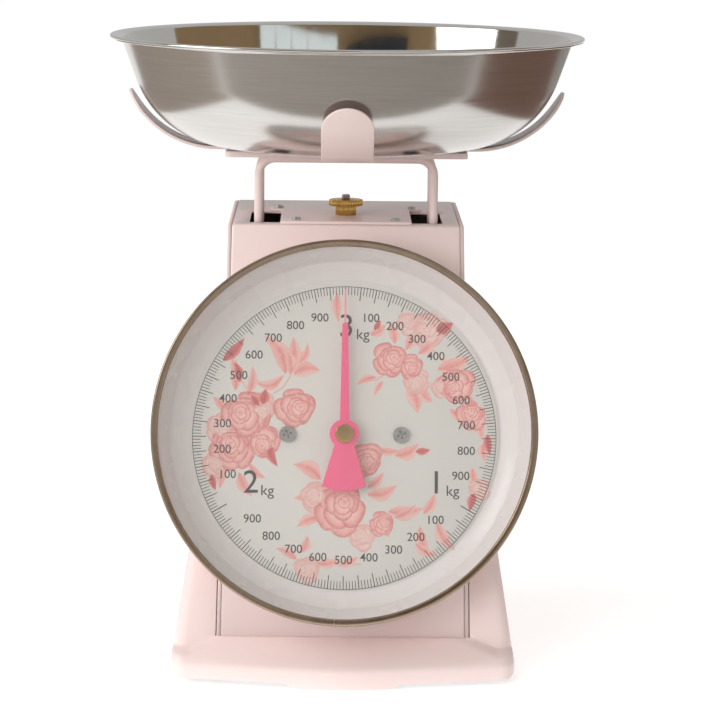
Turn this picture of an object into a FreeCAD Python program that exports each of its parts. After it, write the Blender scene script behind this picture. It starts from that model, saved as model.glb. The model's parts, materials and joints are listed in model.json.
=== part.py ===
import FreeCAD, Part
import math
import os

from FreeCAD import Placement, Rotation, Vector

# A spring kitchen scale with a round dial and a lift-off bowl.
# Origin: on the surface it stands on, under the bowl's axis. +Z up, the dial faces -Y.

# ---- Bowl
BOWL_RADIUS = 115.0          # outer edge of the lip
BOWL_DEPTH = 53.6            # lip to the outside of the floor
BOWL_WALL = 0.8
BOWL_FLOOR_RADIUS = 57.0     # where the flat floor starts to curve up
BOWL_CORNER_RADIUS = 48.0
BOWL_WALL_SLOPE = 19.0       # degrees from upright
LIP_WIDTH = 6.4
LIP_DROP = 3.2
LIP_BEAD = 0.9               # radius of the rolled edge
NECK_STEP_SHARE = 0.6        # inner neck above the outer one, in sheets
BOWL_SEAT_GAP = 0.1

# ---- Carrier that holds the bowl
ARM_WIDTH = 24.2
ARM_SHEET = 1.5
ARM_FLAT = 63.0              # flat part of an arm, from the axis
ARM_BEND_RADIUS = 47.0
ARM_BEND_ANGLE = 66.0
CHANNEL_LENGTH = 117.0
CHANNEL_WIDTH = 40.0
CHANNEL_HEIGHT = 3.3
CHANNEL_SHEET = 1.5
CHANNEL_ROUNDING = 2.4       # lower edges at the two ends
RIVET_RADIUS = 3.0
RIVET_SPACING = 40.0
RIVET_TAIL = 1.0

# ---- Yoke rods between the carrier and the load bar
ROD_RADIUS = 2.08
ROD_SPREAD = 42.35           # rod centre to the axis, along X
ROD_OFFSET = 16.0            # rod centre to the axis, along Y
ROD_BEND_RADIUS = 8.0
YOKE_RISE = 32.6             # top of the rods above the casing's top
ROD_MARGIN = 1.5             # load bar's edge beyond the rods

# ---- Casing
CASING_TOP = 209.5
CASING_BOTTOM = 19.4
CASING_FRONT = -30.2         # front edge of the top
CASING_REAR = 73.7
CASING_REAR_LEAN = 3.0       # degrees
LEAN = 15.0                  # degrees the front panel leans back
PANEL_HALF_TOP = 54.8
PANEL_HALF_BOTTOM = 58.0
SIDE_HALF_TOP = 56.6
SIDE_HALF_BOTTOM = 59.8
CASING_SHEET = 1.0
CASING_FLANGE = 14.0         # depth of the panel's own side flanges
LINER_OVERLAP = 0.4          # side cover stands this far outside the panel's own flange
SLOT_HALF_LENGTH = 21.5      # along Y
SLOT_INNER_GAP = 16.35       # slot's inner end to the rod's centre, along X
SLOT_OUTER_GAP = 4.25
COVER_SETBACK = 0.6          # wrap-round cover behind the panel's face
COVER_DROP = 0.4             # and below the casing's top
COVER_SCREW_X = 40.0
COVER_SCREW_LOW = 20.6       # above the casing's bottom
COVER_SCREW_HIGH = 24.5      # below its top
COVER_SCREW_HEAD = 2.8
COVER_SCREW_SHANK = 1.2
COVER_SCREW_LENGTH = 6.0
COVER_SCREW_SEAT = 0.15      # head's underside stands off the leaning back
SCREW_HOLE_GAP = 0.05        # hole radius beyond a shank's

# ---- Base
BASE_HALF_WIDTH = 81.3
BASE_FRONT_CORNER = -93.0
BASE_FRONT_CENTRE = -106.0
BASE_REAR = 88.0
BASE_CORNER_RADIUS = 9.0
SKIRT_TOP = 9.6
SKIRT_BOTTOM = 2.4
BASE_SHEET = 1.2
WING_TOP = 112.0
WING_GAP = 0.2
WING_LIP = 7.0               # width of the wing's rounded shoulder
WING_SETBACK = 0.6           # behind the front panel's face
WING_CORNER_RADIUS = 6.0
WING_HOLLOW_REACH = 8.0      # how far the inside of a wing opens towards the middle
TAB_TOP_WIDTH = 54.0
TAB_FOOT_WIDTH = 44.0
TAB_ROOT = 2.0               # how far the tab's root climbs the skirt
APRON_MARGIN = 1.2           # apron's top beyond the casing's foot
BASE_OPENING_MARGIN = 14.0   # ledge round the hole under the casing
BOTTOM_SHEET = 1.0
BOTTOM_GAP = 0.3
FOOT_RADIUS = 9.0
FOOT_PLUG_RADIUS = 2.5
FOOT_CHAMFER = 0.8
FOOT_INSET_X = 18.6
FOOT_INSET_Y = 18.0

# ---- Dial, set out along its own leaning axis from the front panel
DIAL_HEIGHT = 111.9          # where the dial axis meets the panel
DRUM_RADIUS = 89.6
DRUM_DEPTH = 21.5
DRUM_SHEET = 0.8
DISH_EDGE_GAP = 0.4          # between the dish's rim and the drum's wall
DISH_WALL_RUN = 6.9          # how far the dish's wall closes in, down to its step
DISH_STEP_RUN = 7.5
DISH_STEP_DEPTH = 9.0
DISH_SHEET = 0.6
PLATE_LIFT = 4.0             # dial plate's face above the panel
PLATE_EDGE_GAP = 0.4
PLATE_HOLE_RADIUS = 4.0
PLATE_SHEET = 0.5
LENS_INSET = 1.6             # lens edge inside the drum's outer face
LENS_SHEET = 1.6
LENS_GAP = 0.2
BEZEL_OVERHANG = 1.4         # bezel's outer face beyond the drum's
BEZEL_FACE_WIDTH = 3.0
BEZEL_DEPTH = 9.0
BEZEL_FRONT = 25.0
BEZEL_SHEET = 0.8
BEZEL_NOSE = 1.0             # chamfer of its outer front edge
BEZEL_ROLL = 0.6             # rounding of its inner edge
DIAL_SCREW_SPACING = 27.0
DIAL_SCREW_HEAD = 4.0
DIAL_SCREW_SHANK = 1.7
DIAL_SCREW_OVERRUN = 1.0     # end of its thread behind the movement plate
DRUM_HOLE_RADIUS = 5.0

# ---- Pointer
POINTER_LIFT = 10.0
POINTER_SHEET = 0.8
POINTER_EDGE_GAP = 4.6       # needle's tip to the edge of the plate
NEEDLE_LENGTH = 16.0
POINTER_HALF_WIDTH = 2.25
POINTER_TIP_HALF_WIDTH = 1.5
NEEDLE_HALF_WIDTH = 0.5
POINTER_HUB_RADIUS = 7.0
POINTER_TAIL = 27.0
POINTER_TAIL_WIDTH = 21.0
POINTER_CAP_RADIUS = 4.5
POINTER_CAP_HEIGHT = 2.0
POINTER_CAP_CHAMFER = 0.8

# ---- Rack and pinion: one turn for the full load
GEAR_MODULE = 0.5
PINION_TEETH = 12
PRESSURE_ANGLE = 20.0
RACK_ADDENDUM = 0.7          # in modules, short so that the small pinion clears it
PINION_ADDENDUM = 1.0
DEDENDUM = 1.25
BACKLASH = 0.10
PINION_LENGTH = 12.0
RACK_THICKNESS = 3.0
SHAFT_RADIUS = 1.0
RUNNING_GAP = 0.05
PINION_DEPTH = 26.0          # nearer end of the pinion, behind the panel
SHAFT_REAR_OVERHANG = 4.0
RACK_BACK = 3.0              # solid bar behind the teeth
RACK_INSET = 1.0             # rack's front behind the pinion's
RACK_ARM_INSET = 0.4         # arm narrower than the bar
RACK_ARM_OVERLAP = 2.0       # arm runs this far in front of the bar's middle

# ---- Movement frame, behind the panel on the dial axis
MOVEMENT_FRONT = 7.0
MOVEMENT_SHEET = 1.2
MOVEMENT_HALF_WIDTH = 34.0
MOVEMENT_HALF_HEIGHT = 12.0
MOVEMENT_REAR_EDGE = 3.3     # right edge of the rear plate, clear of the rack
PILLAR_X = -20.0
PILLAR_Z = 8.0
PILLAR_RADIUS = 2.0
PILLAR_MARGIN = 4.0          # rear plate beyond the pillars
MOVEMENT_END_PLAY = 1.0      # rear plate behind the pinion
BUSH_RADIUS = 2.2
BUSH_LENGTH = 3.0

# ---- Zero adjuster
BRIDGE_SHEET = 1.5
BRIDGE_FRONT = -28.6
BRIDGE_STEP = 21.0
BRIDGE_REAR = 33.0
BRIDGE_HALF_FRONT = 31.6
BRIDGE_HALF_REAR = 37.5
BRIDGE_SCREW_HEAD = 2.1
BRIDGE_SCREW_SHANK = 1.15
BRIDGE_SCREW_FRONT_X = 24.0
BRIDGE_SCREW_REAR_X = 33.0
BRIDGE_SCREW_MARGIN = 6.5
BRIDGE_SHOULDER = 3.0        # length of the slant where the bridge widens
STUD_HOLE_GAP = 0.8
NUT_COLLAR_RADIUS = 5.1
NUT_COLLAR_HEIGHT = 4.6
NUT_FLANGE_RADIUS = 8.3
NUT_FLANGE_HEIGHT = 3.2
NUT_KNURLS = 40
NUT_KNURL_RADIUS = 0.32
NUT_CHAMFER = 0.6
STUD_RADIUS = 2.2
STUD_ABOVE_NUT = 2.2
STUD_CHAMFER = 0.4

# ---- Springs and load bar
SPRING_RADIUS = 6.5
SPRING_WIRE = 1.2
SPRING_SPACING = 20.0
SPRING_COILS = 26
LOAD_BAR_Z = 96.0
LOAD_BAR_SHEET = 3.0
LOAD_BAR_NECK = 6.0          # front edge of its middle part, behind the movement
LOAD_BAR_SIDE = 8.0          # width of the two prongs that reach forward
HANGER_DROP = 23.5           # hanger's underside below the casing's top
HANGER_SHEET = 4.0
HANGER_HALF_WIDTH = 5.0
HANGER_MARGIN = 6.0
SPRING_STEM = 8.0            # straight wire between a spring's coils and the hanger
SPRING_HOLE_GAP = 0.3

# ---- Stay link that keeps the load bar from swinging
TRAVEL = 2 * math.pi * GEAR_MODULE * PINION_TEETH / 2 / math.cos(math.radians(LEAN))
STAY_LENGTH = 45.0
STAY_PIN_RADIUS = 1.5
STAY_EYE_RADIUS = 3.6
STAY_HALF_WIDTH = 12.0
STAY_EAR_GAP = 1.5
STAY_EAR_SHEET = 2.0
STAY_SHEET = 2.0             # web between the two eyes
STAY_SLOT_GAP = 0.12         # slot radius beyond the pin's
STAY_PIN_OVERHANG = 1.0      # pin end beyond an ear
STAY_PIN_DROP = 1.0          # ear eye below the load bar
STAY_BRACKET_HALF_HEIGHT = 8.0
STAY_SLOT = 1.6              # how much longer than round the sliding eye is

# ---- Screw heads, as shares of the head's radius or height
SCREW_HEIGHT_SHARE = 0.55
SCREW_ROUND_SHARE = 0.6
CROSS_REACH_SHARE = 0.62
CROSS_WIDTH_SHARE = 0.14
CROSS_DEPTH_SHARE = 0.55

# ---- Sizes that follow from the ones above
YOKE_TOP = CASING_TOP + YOKE_RISE
CARRIER_TOP = YOKE_TOP + CHANNEL_SHEET + ARM_SHEET
SLOT_INNER = ROD_SPREAD - SLOT_INNER_GAP
SLOT_OUTER = ROD_SPREAD + SLOT_OUTER_GAP
DISH_RIM_RADIUS = DRUM_RADIUS - DRUM_SHEET - DISH_EDGE_GAP
DISH_STEP_RADIUS = DISH_RIM_RADIUS - DISH_WALL_RUN
DISH_FLOOR_RADIUS = DISH_STEP_RADIUS - DISH_STEP_RUN
PLATE_RADIUS = DISH_FLOOR_RADIUS - PLATE_EDGE_GAP
LENS_RADIUS = DRUM_RADIUS - LENS_INSET
BEZEL_RADIUS = DRUM_RADIUS + BEZEL_OVERHANG
POINTER_LENGTH = PLATE_RADIUS - POINTER_EDGE_GAP
POINTER_BROAD_LENGTH = POINTER_LENGTH - NEEDLE_LENGTH
HANGER_Z = CASING_TOP - HANGER_DROP
SPRING_TOP = HANGER_Z - SPRING_STEM
DIAL_SCREW_HOLE = DIAL_SCREW_SHANK + SCREW_HOLE_GAP
BRIDGE_SCREW_HOLE = BRIDGE_SCREW_SHANK + SCREW_HOLE_GAP
COVER_SCREW_HOLE = COVER_SCREW_SHANK + SCREW_HOLE_GAP
LOAD_BAR_DEPTH = ROD_OFFSET + ROD_RADIUS + ROD_MARGIN

THROUGH = 30.0               # cutters reach this far, clear of any sheet
CUTTER_MARGIN = 2.0          # and this far beyond an edge they trim
OPEN_FRONT = Vector(0, -1, 0)
UP = Vector(0, 0, 1)

parts = {}


def panel_y(z):
    """Y of the front panel's outer face at height z."""
    return CASING_FRONT - (CASING_TOP - z) * math.tan(math.radians(LEAN))


def rear_y(z):
    """Y of the back's outer face at height z."""
    return CASING_REAR + (CASING_TOP - z) * math.tan(math.radians(CASING_REAR_LEAN))


def box(x0, x1, y0, y1, z0, z1):
    return Part.makeBox(x1 - x0, y1 - y0, z1 - z0, Vector(x0, y0, z0))


def plate(points, thickness, along=UP):
    """A flat sheet cut to an outline of points, thickened along a direction."""
    outline = Part.makePolygon(points + [points[0]])
    return Part.Face(outline).extrude(along * thickness)


def turned(points, centre=Vector(0, 0, 0), axis=UP):
    """A body turned from an outline of (radius, height) points about an axis through centre."""
    outline = [Vector(radius, 0, height) for radius, height in points]
    shape = Part.Face(Part.makePolygon(outline + [outline[0]])).revolve(Vector(0, 0, 0), UP, 360)
    shape.Placement = Placement(centre, Rotation(UP, axis))
    return shape


def rod(start, end, radius):
    return Part.makeCylinder(radius, (end - start).Length, start, end - start)


def mirrored(shape):
    return shape.mirror(Vector(0, 0, 0), Vector(1, 0, 0))


def fused(shapes):
    whole = shapes[0]
    for shape in shapes[1:]:
        whole = whole.fuse(shape)
    return whole.removeSplitter()


def group(shapes):
    return Part.makeCompound(shapes)


def loft(lower, upper):
    """A solid between two outlines with the same number of corners."""
    wires = [Part.makePolygon(points + [points[0]]) for points in (lower, upper)]
    return Part.makeLoft(wires, True, True)


def on_dial(shape):
    """Places a shape drawn with the panel at y = 0, the dial axis along Y and up along Z."""
    placed = shape.copy()
    lean = Placement(Vector(0, panel_y(DIAL_HEIGHT), DIAL_HEIGHT), Rotation(Vector(1, 0, 0), -LEAN))
    placed.Placement = lean.multiply(placed.Placement)
    return placed


def dial_turned(points):
    """Turned about the dial axis from (radius, distance in front of the panel) points."""
    return on_dial(turned(points, axis=OPEN_FRONT))


def dial_disc(radius, back, thickness, x=0.0, z=0.0):
    return on_dial(Part.makeCylinder(radius, thickness, Vector(x, -back, z), OPEN_FRONT))


def screw_slots(radius, depth):
    """The cross that is sunk into a screw head, at the origin, opening upwards."""
    arm = radius * CROSS_REACH_SHARE
    half = radius * CROSS_WIDTH_SHARE
    first = box(-arm, arm, -half, half, -depth, depth)
    second = box(-half, half, -arm, arm, -depth, depth)
    return first.fuse(second)


def pan_screw(head_radius, shank_radius, shank_length):
    """A cross-head screw standing on z = 0 with its shank below."""
    head_height = head_radius * SCREW_HEIGHT_SHARE
    head = Part.makeCylinder(head_radius, head_height)
    head = head.makeFillet(head_height * SCREW_ROUND_SHARE, [head.Edges[0]])
    cross = screw_slots(head_radius, head_height * CROSS_DEPTH_SHARE)
    cross.translate(Vector(0, 0, head_height))
    shank = Part.makeCylinder(shank_radius, shank_length, Vector(0, 0, -shank_length))
    return head.cut(cross).fuse(shank).removeSplitter()


# ---------------------------------------------------------------- bowl and carrier

def make_bowl():
    floor_z = CARRIER_TOP + BOWL_SEAT_GAP
    rim_z = floor_z + BOWL_DEPTH
    slope = math.radians(BOWL_WALL_SLOPE)
    centre = Vector(BOWL_FLOOR_RADIUS, 0, floor_z + BOWL_CORNER_RADIUS)
    neck_radius = BOWL_RADIUS - LIP_WIDTH
    neck_z = rim_z - LIP_DROP

    def skin(inset):
        """One side of the sheet: floor, round corner and straight wall up to the neck."""
        radius = BOWL_CORNER_RADIUS - inset
        bottom = centre + Vector(0, 0, -radius)
        middle_angle = (math.pi / 2 + slope) / 2
        middle = centre + Vector(math.cos(middle_angle), 0, -math.sin(middle_angle)) * radius
        top = centre + Vector(math.cos(slope), 0, -math.sin(slope)) * radius
        neck = Vector(neck_radius - inset, 0, neck_z + inset * NECK_STEP_SHARE)
        axis_point = Vector(0, 0, floor_z + inset)
        edges = [Part.makeLine(axis_point, bottom), Part.Arc(bottom, middle, top).toShape(),
                 Part.makeLine(top, neck)]
        return edges, axis_point, neck

    outer, outer_axis, outer_neck = skin(0)
    inner, inner_axis, inner_neck = skin(BOWL_WALL)
    edge_low = Vector(BOWL_RADIUS, 0, rim_z - BOWL_WALL)
    edge_high = Vector(BOWL_RADIUS, 0, rim_z)
    lip = [Part.makeLine(outer_neck, edge_low), Part.makeLine(edge_low, edge_high),
           Part.makeLine(edge_high, inner_neck)]
    close = [Part.makeLine(inner_axis, outer_axis)]
    outline = Part.Wire(Part.__sortEdges__(outer + lip + inner + close))
    shape = Part.Face(outline).revolve(Vector(0, 0, 0), UP, 360)
    bead_centre = Vector(0, 0, rim_z - LIP_BEAD)
    bead = Part.makeTorus(BOWL_RADIUS - LIP_BEAD, LIP_BEAD, bead_centre, UP)
    parts["bowl"] = fused([shape, bead])


def arm_profile_face():
    """Side view of one arm in the XZ plane: flat, then curving up."""
    z_low = CARRIER_TOP - ARM_SHEET
    centre = Vector(ARM_FLAT, 0, z_low + ARM_BEND_RADIUS)
    half = math.radians(ARM_BEND_ANGLE / 2)
    full = math.radians(ARM_BEND_ANGLE)

    def bend(radius):
        low = centre + Vector(0, 0, -radius)
        middle = centre + Vector(math.sin(half), 0, -math.cos(half)) * radius
        tip = centre + Vector(math.sin(full), 0, -math.cos(full)) * radius
        return low, middle, tip

    outer = bend(ARM_BEND_RADIUS)
    inner = bend(ARM_BEND_RADIUS - ARM_SHEET)
    start_low = Vector(0, 0, z_low)
    start_high = Vector(0, 0, CARRIER_TOP)
    edges = [Part.makeLine(start_low, outer[0]), Part.Arc(*outer).toShape(),
             Part.makeLine(outer[2], inner[2]), Part.Arc(*inner).toShape(),
             Part.makeLine(inner[0], start_high), Part.makeLine(start_high, start_low)]
    return Part.Face(Part.Wire(Part.__sortEdges__(edges)))


def make_carrier():
    half = ARM_WIDTH / 2
    side_view = arm_profile_face()
    side_view.translate(Vector(0, -half, 0))
    strip = side_view.extrude(Vector(0, ARM_WIDTH, 0))
    # The end is rounded: the strip is kept only inside a round-ended outline laid along the bend.
    tip_angle = math.radians(ARM_BEND_ANGLE)
    z_low = CARRIER_TOP - ARM_SHEET
    tip = Vector(ARM_FLAT + math.sin(tip_angle) * ARM_BEND_RADIUS, 0,
                 z_low + ARM_BEND_RADIUS * (1 - math.cos(tip_angle)))
    along = Vector(math.cos(tip_angle), 0, math.sin(tip_angle))
    outward = Vector(math.sin(tip_angle), 0, -math.cos(tip_angle))
    round_centre = tip - along * half
    cutter_size = ARM_WIDTH * 2
    square_corner = Vector(0, -cutter_size / 2, -cutter_size / 2)
    square = Part.makeBox(half + CUTTER_MARGIN, cutter_size, cutter_size, square_corner)
    disc = Part.makeCylinder(half, cutter_size, Vector(0, 0, -cutter_size / 2), UP)
    corner_cut = square.cut(disc)
    corner_cut.Placement = Placement(round_centre, Rotation(along, Vector(0, 1, 0), outward, "XZY"))
    rounded = strip.cut(corner_cut)
    arms = []
    for quarter in range(4):
        arm = rounded.copy()
        arm.rotate(Vector(0, 0, 0), UP, quarter * 90)
        arms.append(arm)
    hub = box(-half, half, -half, half, z_low, CARRIER_TOP)
    rivet_holes = [rod(Vector(x, 0, z_low - CHANNEL_HEIGHT), Vector(x, 0, CARRIER_TOP + 1), RIVET_RADIUS / 2)
                   for x in (-RIVET_SPACING, RIVET_SPACING)]
    parts["carrier_arms"] = fused(arms + [hub]).cut(rivet_holes)

    web_top = z_low
    half_length = CHANNEL_LENGTH / 2
    half_width = CHANNEL_WIDTH / 2
    bottom = web_top - CHANNEL_HEIGHT
    tray = box(-half_length, half_length, -half_width, half_width, bottom, web_top)
    end_edges = [edge for edge in tray.Edges if is_along(edge, 1) and low_edge(edge, bottom)]
    tray = tray.makeFillet(CHANNEL_ROUNDING, end_edges)
    hollow = box(-half_length + CHANNEL_SHEET, half_length - CHANNEL_SHEET,
                 -half_width + CHANNEL_SHEET, half_width - CHANNEL_SHEET,
                 bottom - 1, web_top - CHANNEL_SHEET)
    parts["carrier_channel"] = tray.cut(hollow).cut(rivet_holes)

    rivets = []
    for x in (-RIVET_SPACING, RIVET_SPACING):
        shank_low = web_top - CHANNEL_SHEET
        shank = rod(Vector(x, 0, shank_low), Vector(x, 0, CARRIER_TOP), RIVET_RADIUS / 2)
        tail = rod(Vector(x, 0, shank_low - RIVET_TAIL), Vector(x, 0, shank_low), RIVET_RADIUS)
        rivets.append(shank.fuse(tail).removeSplitter())
    parts["carrier_rivets"] = group(rivets)


def is_along(edge, axis_index):
    """True when a straight edge runs along X, Y or Z (0, 1 or 2)."""
    direction = edge.tangentAt(edge.FirstParameter)
    return abs(abs(direction[axis_index]) - 1) < 1e-6


def low_edge(edge, z):
    return edge.BoundBox.ZMax < z + 1e-6


# ---------------------------------------------------------------- yoke and load bar

def make_yoke_rod(y):
    """One U-shaped rod, upside down, from the load bar up one side and down the other."""
    top = YOKE_TOP - ROD_RADIUS
    foot = LOAD_BAR_Z + LOAD_BAR_SHEET
    bend = ROD_BEND_RADIUS
    corner = bend * (1 - math.sqrt(0.5))
    left = Vector(-ROD_SPREAD, y, top - bend)
    left_top = Vector(-ROD_SPREAD + bend, y, top)
    right_top = Vector(ROD_SPREAD - bend, y, top)
    right = Vector(ROD_SPREAD, y, top - bend)
    left_middle = Vector(-ROD_SPREAD + corner, y, top - corner)
    right_middle = Vector(ROD_SPREAD - corner, y, top - corner)
    path = Part.Wire([Part.makeLine(Vector(-ROD_SPREAD, y, foot), left),
                      Part.Arc(left, left_middle, left_top).toShape(),
                      Part.makeLine(left_top, right_top),
                      Part.Arc(right_top, right_middle, right).toShape(),
                      Part.makeLine(right, Vector(ROD_SPREAD, y, foot))])
    circle = Part.Wire(Part.makeCircle(ROD_RADIUS, Vector(-ROD_SPREAD, y, foot), UP))
    return path.makePipeShell([circle], True, True)


def make_yoke():
    parts["yoke_front"] = make_yoke_rod(-ROD_OFFSET)
    parts["yoke_rear"] = make_yoke_rod(ROD_OFFSET)
    reach = ROD_SPREAD + ROD_RADIUS + ROD_MARGIN
    depth = LOAD_BAR_DEPTH
    bar_top = LOAD_BAR_Z + LOAD_BAR_SHEET
    bar = box(-reach, reach, -depth, depth, LOAD_BAR_Z, bar_top)
    notch_half = reach - LOAD_BAR_SIDE
    notch = box(-notch_half, notch_half, -depth - 1, -LOAD_BAR_NECK, LOAD_BAR_Z - 1, bar_top + 1)
    bar = bar.cut(notch)
    hook_holes = [rod(Vector(x, 0, LOAD_BAR_Z - 1), Vector(x, 0, LOAD_BAR_Z + LOAD_BAR_SHEET + 1),
                      SPRING_WIRE + SPRING_HOLE_GAP) for x in (-SPRING_SPACING, SPRING_SPACING)]
    bar = bar.cut(hook_holes)
    # Two ears under the rear edge hold the pin that the stay link slides on.
    pin_z = stay_pin_z()
    ears = []
    ear_in = STAY_HALF_WIDTH + STAY_EAR_GAP
    for x in (-ear_in - STAY_EAR_SHEET, ear_in):
        ear = box(x, x + STAY_EAR_SHEET, depth - 2 * STAY_EYE_RADIUS, depth,
                  pin_z - STAY_EYE_RADIUS, LOAD_BAR_Z)
        ears.append(ear)
    pin_y = stay_pin_y()
    pin_hole = rod(Vector(-reach, pin_y, pin_z), Vector(reach, pin_y, pin_z), STAY_PIN_RADIUS)
    parts["load_bar"] = fused([bar] + ears).cut(pin_hole)
    pin_reach = ear_in + STAY_EAR_SHEET + STAY_PIN_OVERHANG
    pin_end = Vector(pin_reach, pin_y, pin_z)
    parts["load_pin"] = rod(Vector(-pin_reach, pin_y, pin_z), pin_end, STAY_PIN_RADIUS)


def stay_pin_y():
    return LOAD_BAR_DEPTH - STAY_EYE_RADIUS


def stay_pin_z():
    return LOAD_BAR_Z - STAY_EYE_RADIUS - STAY_PIN_DROP


def stay_pivot():
    """The fixed pivot: level with the load pin when the scale is half loaded."""
    reach = math.sqrt(STAY_LENGTH ** 2 - (TRAVEL / 2) ** 2)
    return Vector(0, stay_pin_y() + reach, stay_pin_z() - TRAVEL / 2)


def make_stay_link():
    pivot = stay_pivot()
    far = Vector(0, stay_pin_y(), stay_pin_z())
    along = (far - pivot).normalize()
    side = Vector(1, 0, 0)
    half = STAY_HALF_WIDTH
    eye_pivot = rod(pivot - side * half, pivot + side * half, STAY_EYE_RADIUS)
    slot_in = far - along * (STAY_SLOT + RUNNING_GAP)
    eye_far = rod(far - side * half, far + side * half, STAY_EYE_RADIUS)
    eye_in = rod(slot_in - side * half, slot_in + side * half, STAY_EYE_RADIUS)
    normal = along.cross(side)
    web_start = pivot - side * half - normal * STAY_SHEET / 2
    web = Part.Face(Part.makePolygon([web_start, web_start + side * 2 * half,
                                      web_start + side * 2 * half + along * (STAY_LENGTH - STAY_EYE_RADIUS),
                                      web_start + along * (STAY_LENGTH - STAY_EYE_RADIUS), web_start]))
    web = web.extrude(normal * STAY_SHEET)
    link = fused([eye_pivot, web, eye_far, eye_in])
    bore = rod(pivot - side * (half + 1), pivot + side * (half + 1), STAY_PIN_RADIUS + RUNNING_GAP)
    slot_radius = STAY_PIN_RADIUS + STAY_SLOT_GAP
    slot_ends = [rod(p - side * (half + 1), p + side * (half + 1), slot_radius) for p in (far, slot_in)]
    slot_normal = normal * slot_radius
    slot_corners = [far - slot_normal, far + slot_normal, slot_in + slot_normal, slot_in - slot_normal]
    slot_corners = [corner - side * (half + 1) for corner in slot_corners]
    slot_middle = plate(slot_corners, 2 * (half + 1), side)
    parts["stay_link"] = link.cut(bore).cut(fused(slot_ends + [slot_middle]))


# ---------------------------------------------------------------- springs and zero adjuster

def make_spring(x):
    """A close-wound extension spring with a straight eye at each end."""
    pitch = SPRING_WIRE * 2
    top = SPRING_TOP
    middle = SPRING_RADIUS - SPRING_WIRE
    bottom = top - SPRING_COILS * pitch
    edges = []
    for coil in range(SPRING_COILS):
        high = top - coil * pitch
        edges.append(Part.Arc(Vector(middle, 0, high), Vector(SPRING_RADIUS, 0, high - pitch / 2),
                              Vector(middle, 0, high - pitch)).toShape())
    inner = middle - SPRING_WIRE
    edges.append(Part.makeLine(Vector(middle, 0, bottom), Vector(inner, 0, bottom)))
    edges.append(Part.makeLine(Vector(inner, 0, bottom), Vector(inner, 0, top)))
    edges.append(Part.makeLine(Vector(inner, 0, top), Vector(middle, 0, top)))
    coils = Part.Face(Part.Wire(Part.__sortEdges__(edges))).revolve(Vector(0, 0, 0), UP, 360)
    cap_low = rod(Vector(0, 0, bottom), Vector(0, 0, bottom + pitch), inner + 0.2)
    cap_high = rod(Vector(0, 0, top - pitch), Vector(0, 0, top), inner + 0.2)
    stem_low = rod(Vector(0, 0, LOAD_BAR_Z), Vector(0, 0, bottom + 1), SPRING_WIRE)
    stem_high = rod(Vector(0, 0, top - 1), Vector(0, 0, HANGER_Z + HANGER_SHEET), SPRING_WIRE)
    spring = fused([coils, cap_low, cap_high, stem_low, stem_high])
    spring.translate(Vector(x, 0, 0))
    return spring


def make_springs():
    parts["spring_left"] = make_spring(-SPRING_SPACING)
    parts["spring_right"] = make_spring(SPRING_SPACING)
    reach = SPRING_SPACING + HANGER_MARGIN
    hanger = box(-reach, reach, -HANGER_HALF_WIDTH, HANGER_HALF_WIDTH, HANGER_Z, HANGER_Z + HANGER_SHEET)
    holes = [rod(Vector(x, 0, HANGER_Z - 1), Vector(x, 0, HANGER_Z + HANGER_SHEET + 1),
                 SPRING_WIRE + SPRING_HOLE_GAP)
             for x in (-SPRING_SPACING, SPRING_SPACING)]
    parts["spring_hanger"] = hanger.cut(holes)
    nut_top = CASING_TOP + BRIDGE_SHEET + NUT_COLLAR_HEIGHT + NUT_FLANGE_HEIGHT
    stud = rod(Vector(0, 0, HANGER_Z + HANGER_SHEET), Vector(0, 0, nut_top + STUD_ABOVE_NUT), STUD_RADIUS)
    parts["zero_stud"] = stud.makeChamfer(STUD_CHAMFER, [stud.Edges[0]])


def make_zero_nut():
    z = CASING_TOP + BRIDGE_SHEET
    collar = Part.makeCylinder(NUT_COLLAR_RADIUS, NUT_COLLAR_HEIGHT, Vector(0, 0, z))
    z_flange = z + NUT_COLLAR_HEIGHT
    z_top = z_flange + NUT_FLANGE_HEIGHT
    flat_radius = NUT_FLANGE_RADIUS - NUT_CHAMFER
    flange = turned([(0, z_flange), (flat_radius, z_flange), (NUT_FLANGE_RADIUS, z_flange + NUT_CHAMFER),
                     (NUT_FLANGE_RADIUS, z_top - NUT_CHAMFER), (flat_radius, z_top), (0, z_top)])
    grooves = []
    for index in range(NUT_KNURLS):
        angle = 2 * math.pi * index / NUT_KNURLS
        x = NUT_FLANGE_RADIUS * math.cos(angle)
        y = NUT_FLANGE_RADIUS * math.sin(angle)
        grooves.append(rod(Vector(x, y, z_flange - 1), Vector(x, y, z_top + 1), NUT_KNURL_RADIUS))
    bore = rod(Vector(0, 0, z - 1), Vector(0, 0, z_top + 1), STUD_RADIUS + RUNNING_GAP)
    parts["zero_nut"] = fused([collar, flange]).cut(grooves).cut(bore)


def bridge_outline(z):
    shoulder = BRIDGE_STEP + BRIDGE_SHOULDER
    right = [Vector(BRIDGE_HALF_FRONT, BRIDGE_FRONT, z), Vector(BRIDGE_HALF_FRONT, BRIDGE_STEP, z),
             Vector(BRIDGE_HALF_REAR, shoulder, z), Vector(BRIDGE_HALF_REAR, BRIDGE_REAR, z)]
    return right + [Vector(-point.x, point.y, z) for point in reversed(right)]


def bridge_screw_places():
    front = BRIDGE_FRONT + BRIDGE_SCREW_MARGIN
    rear = BRIDGE_REAR - BRIDGE_SCREW_MARGIN
    return [(-BRIDGE_SCREW_FRONT_X, front), (BRIDGE_SCREW_FRONT_X, front),
            (-BRIDGE_SCREW_REAR_X, rear), (BRIDGE_SCREW_REAR_X, rear)]


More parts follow.
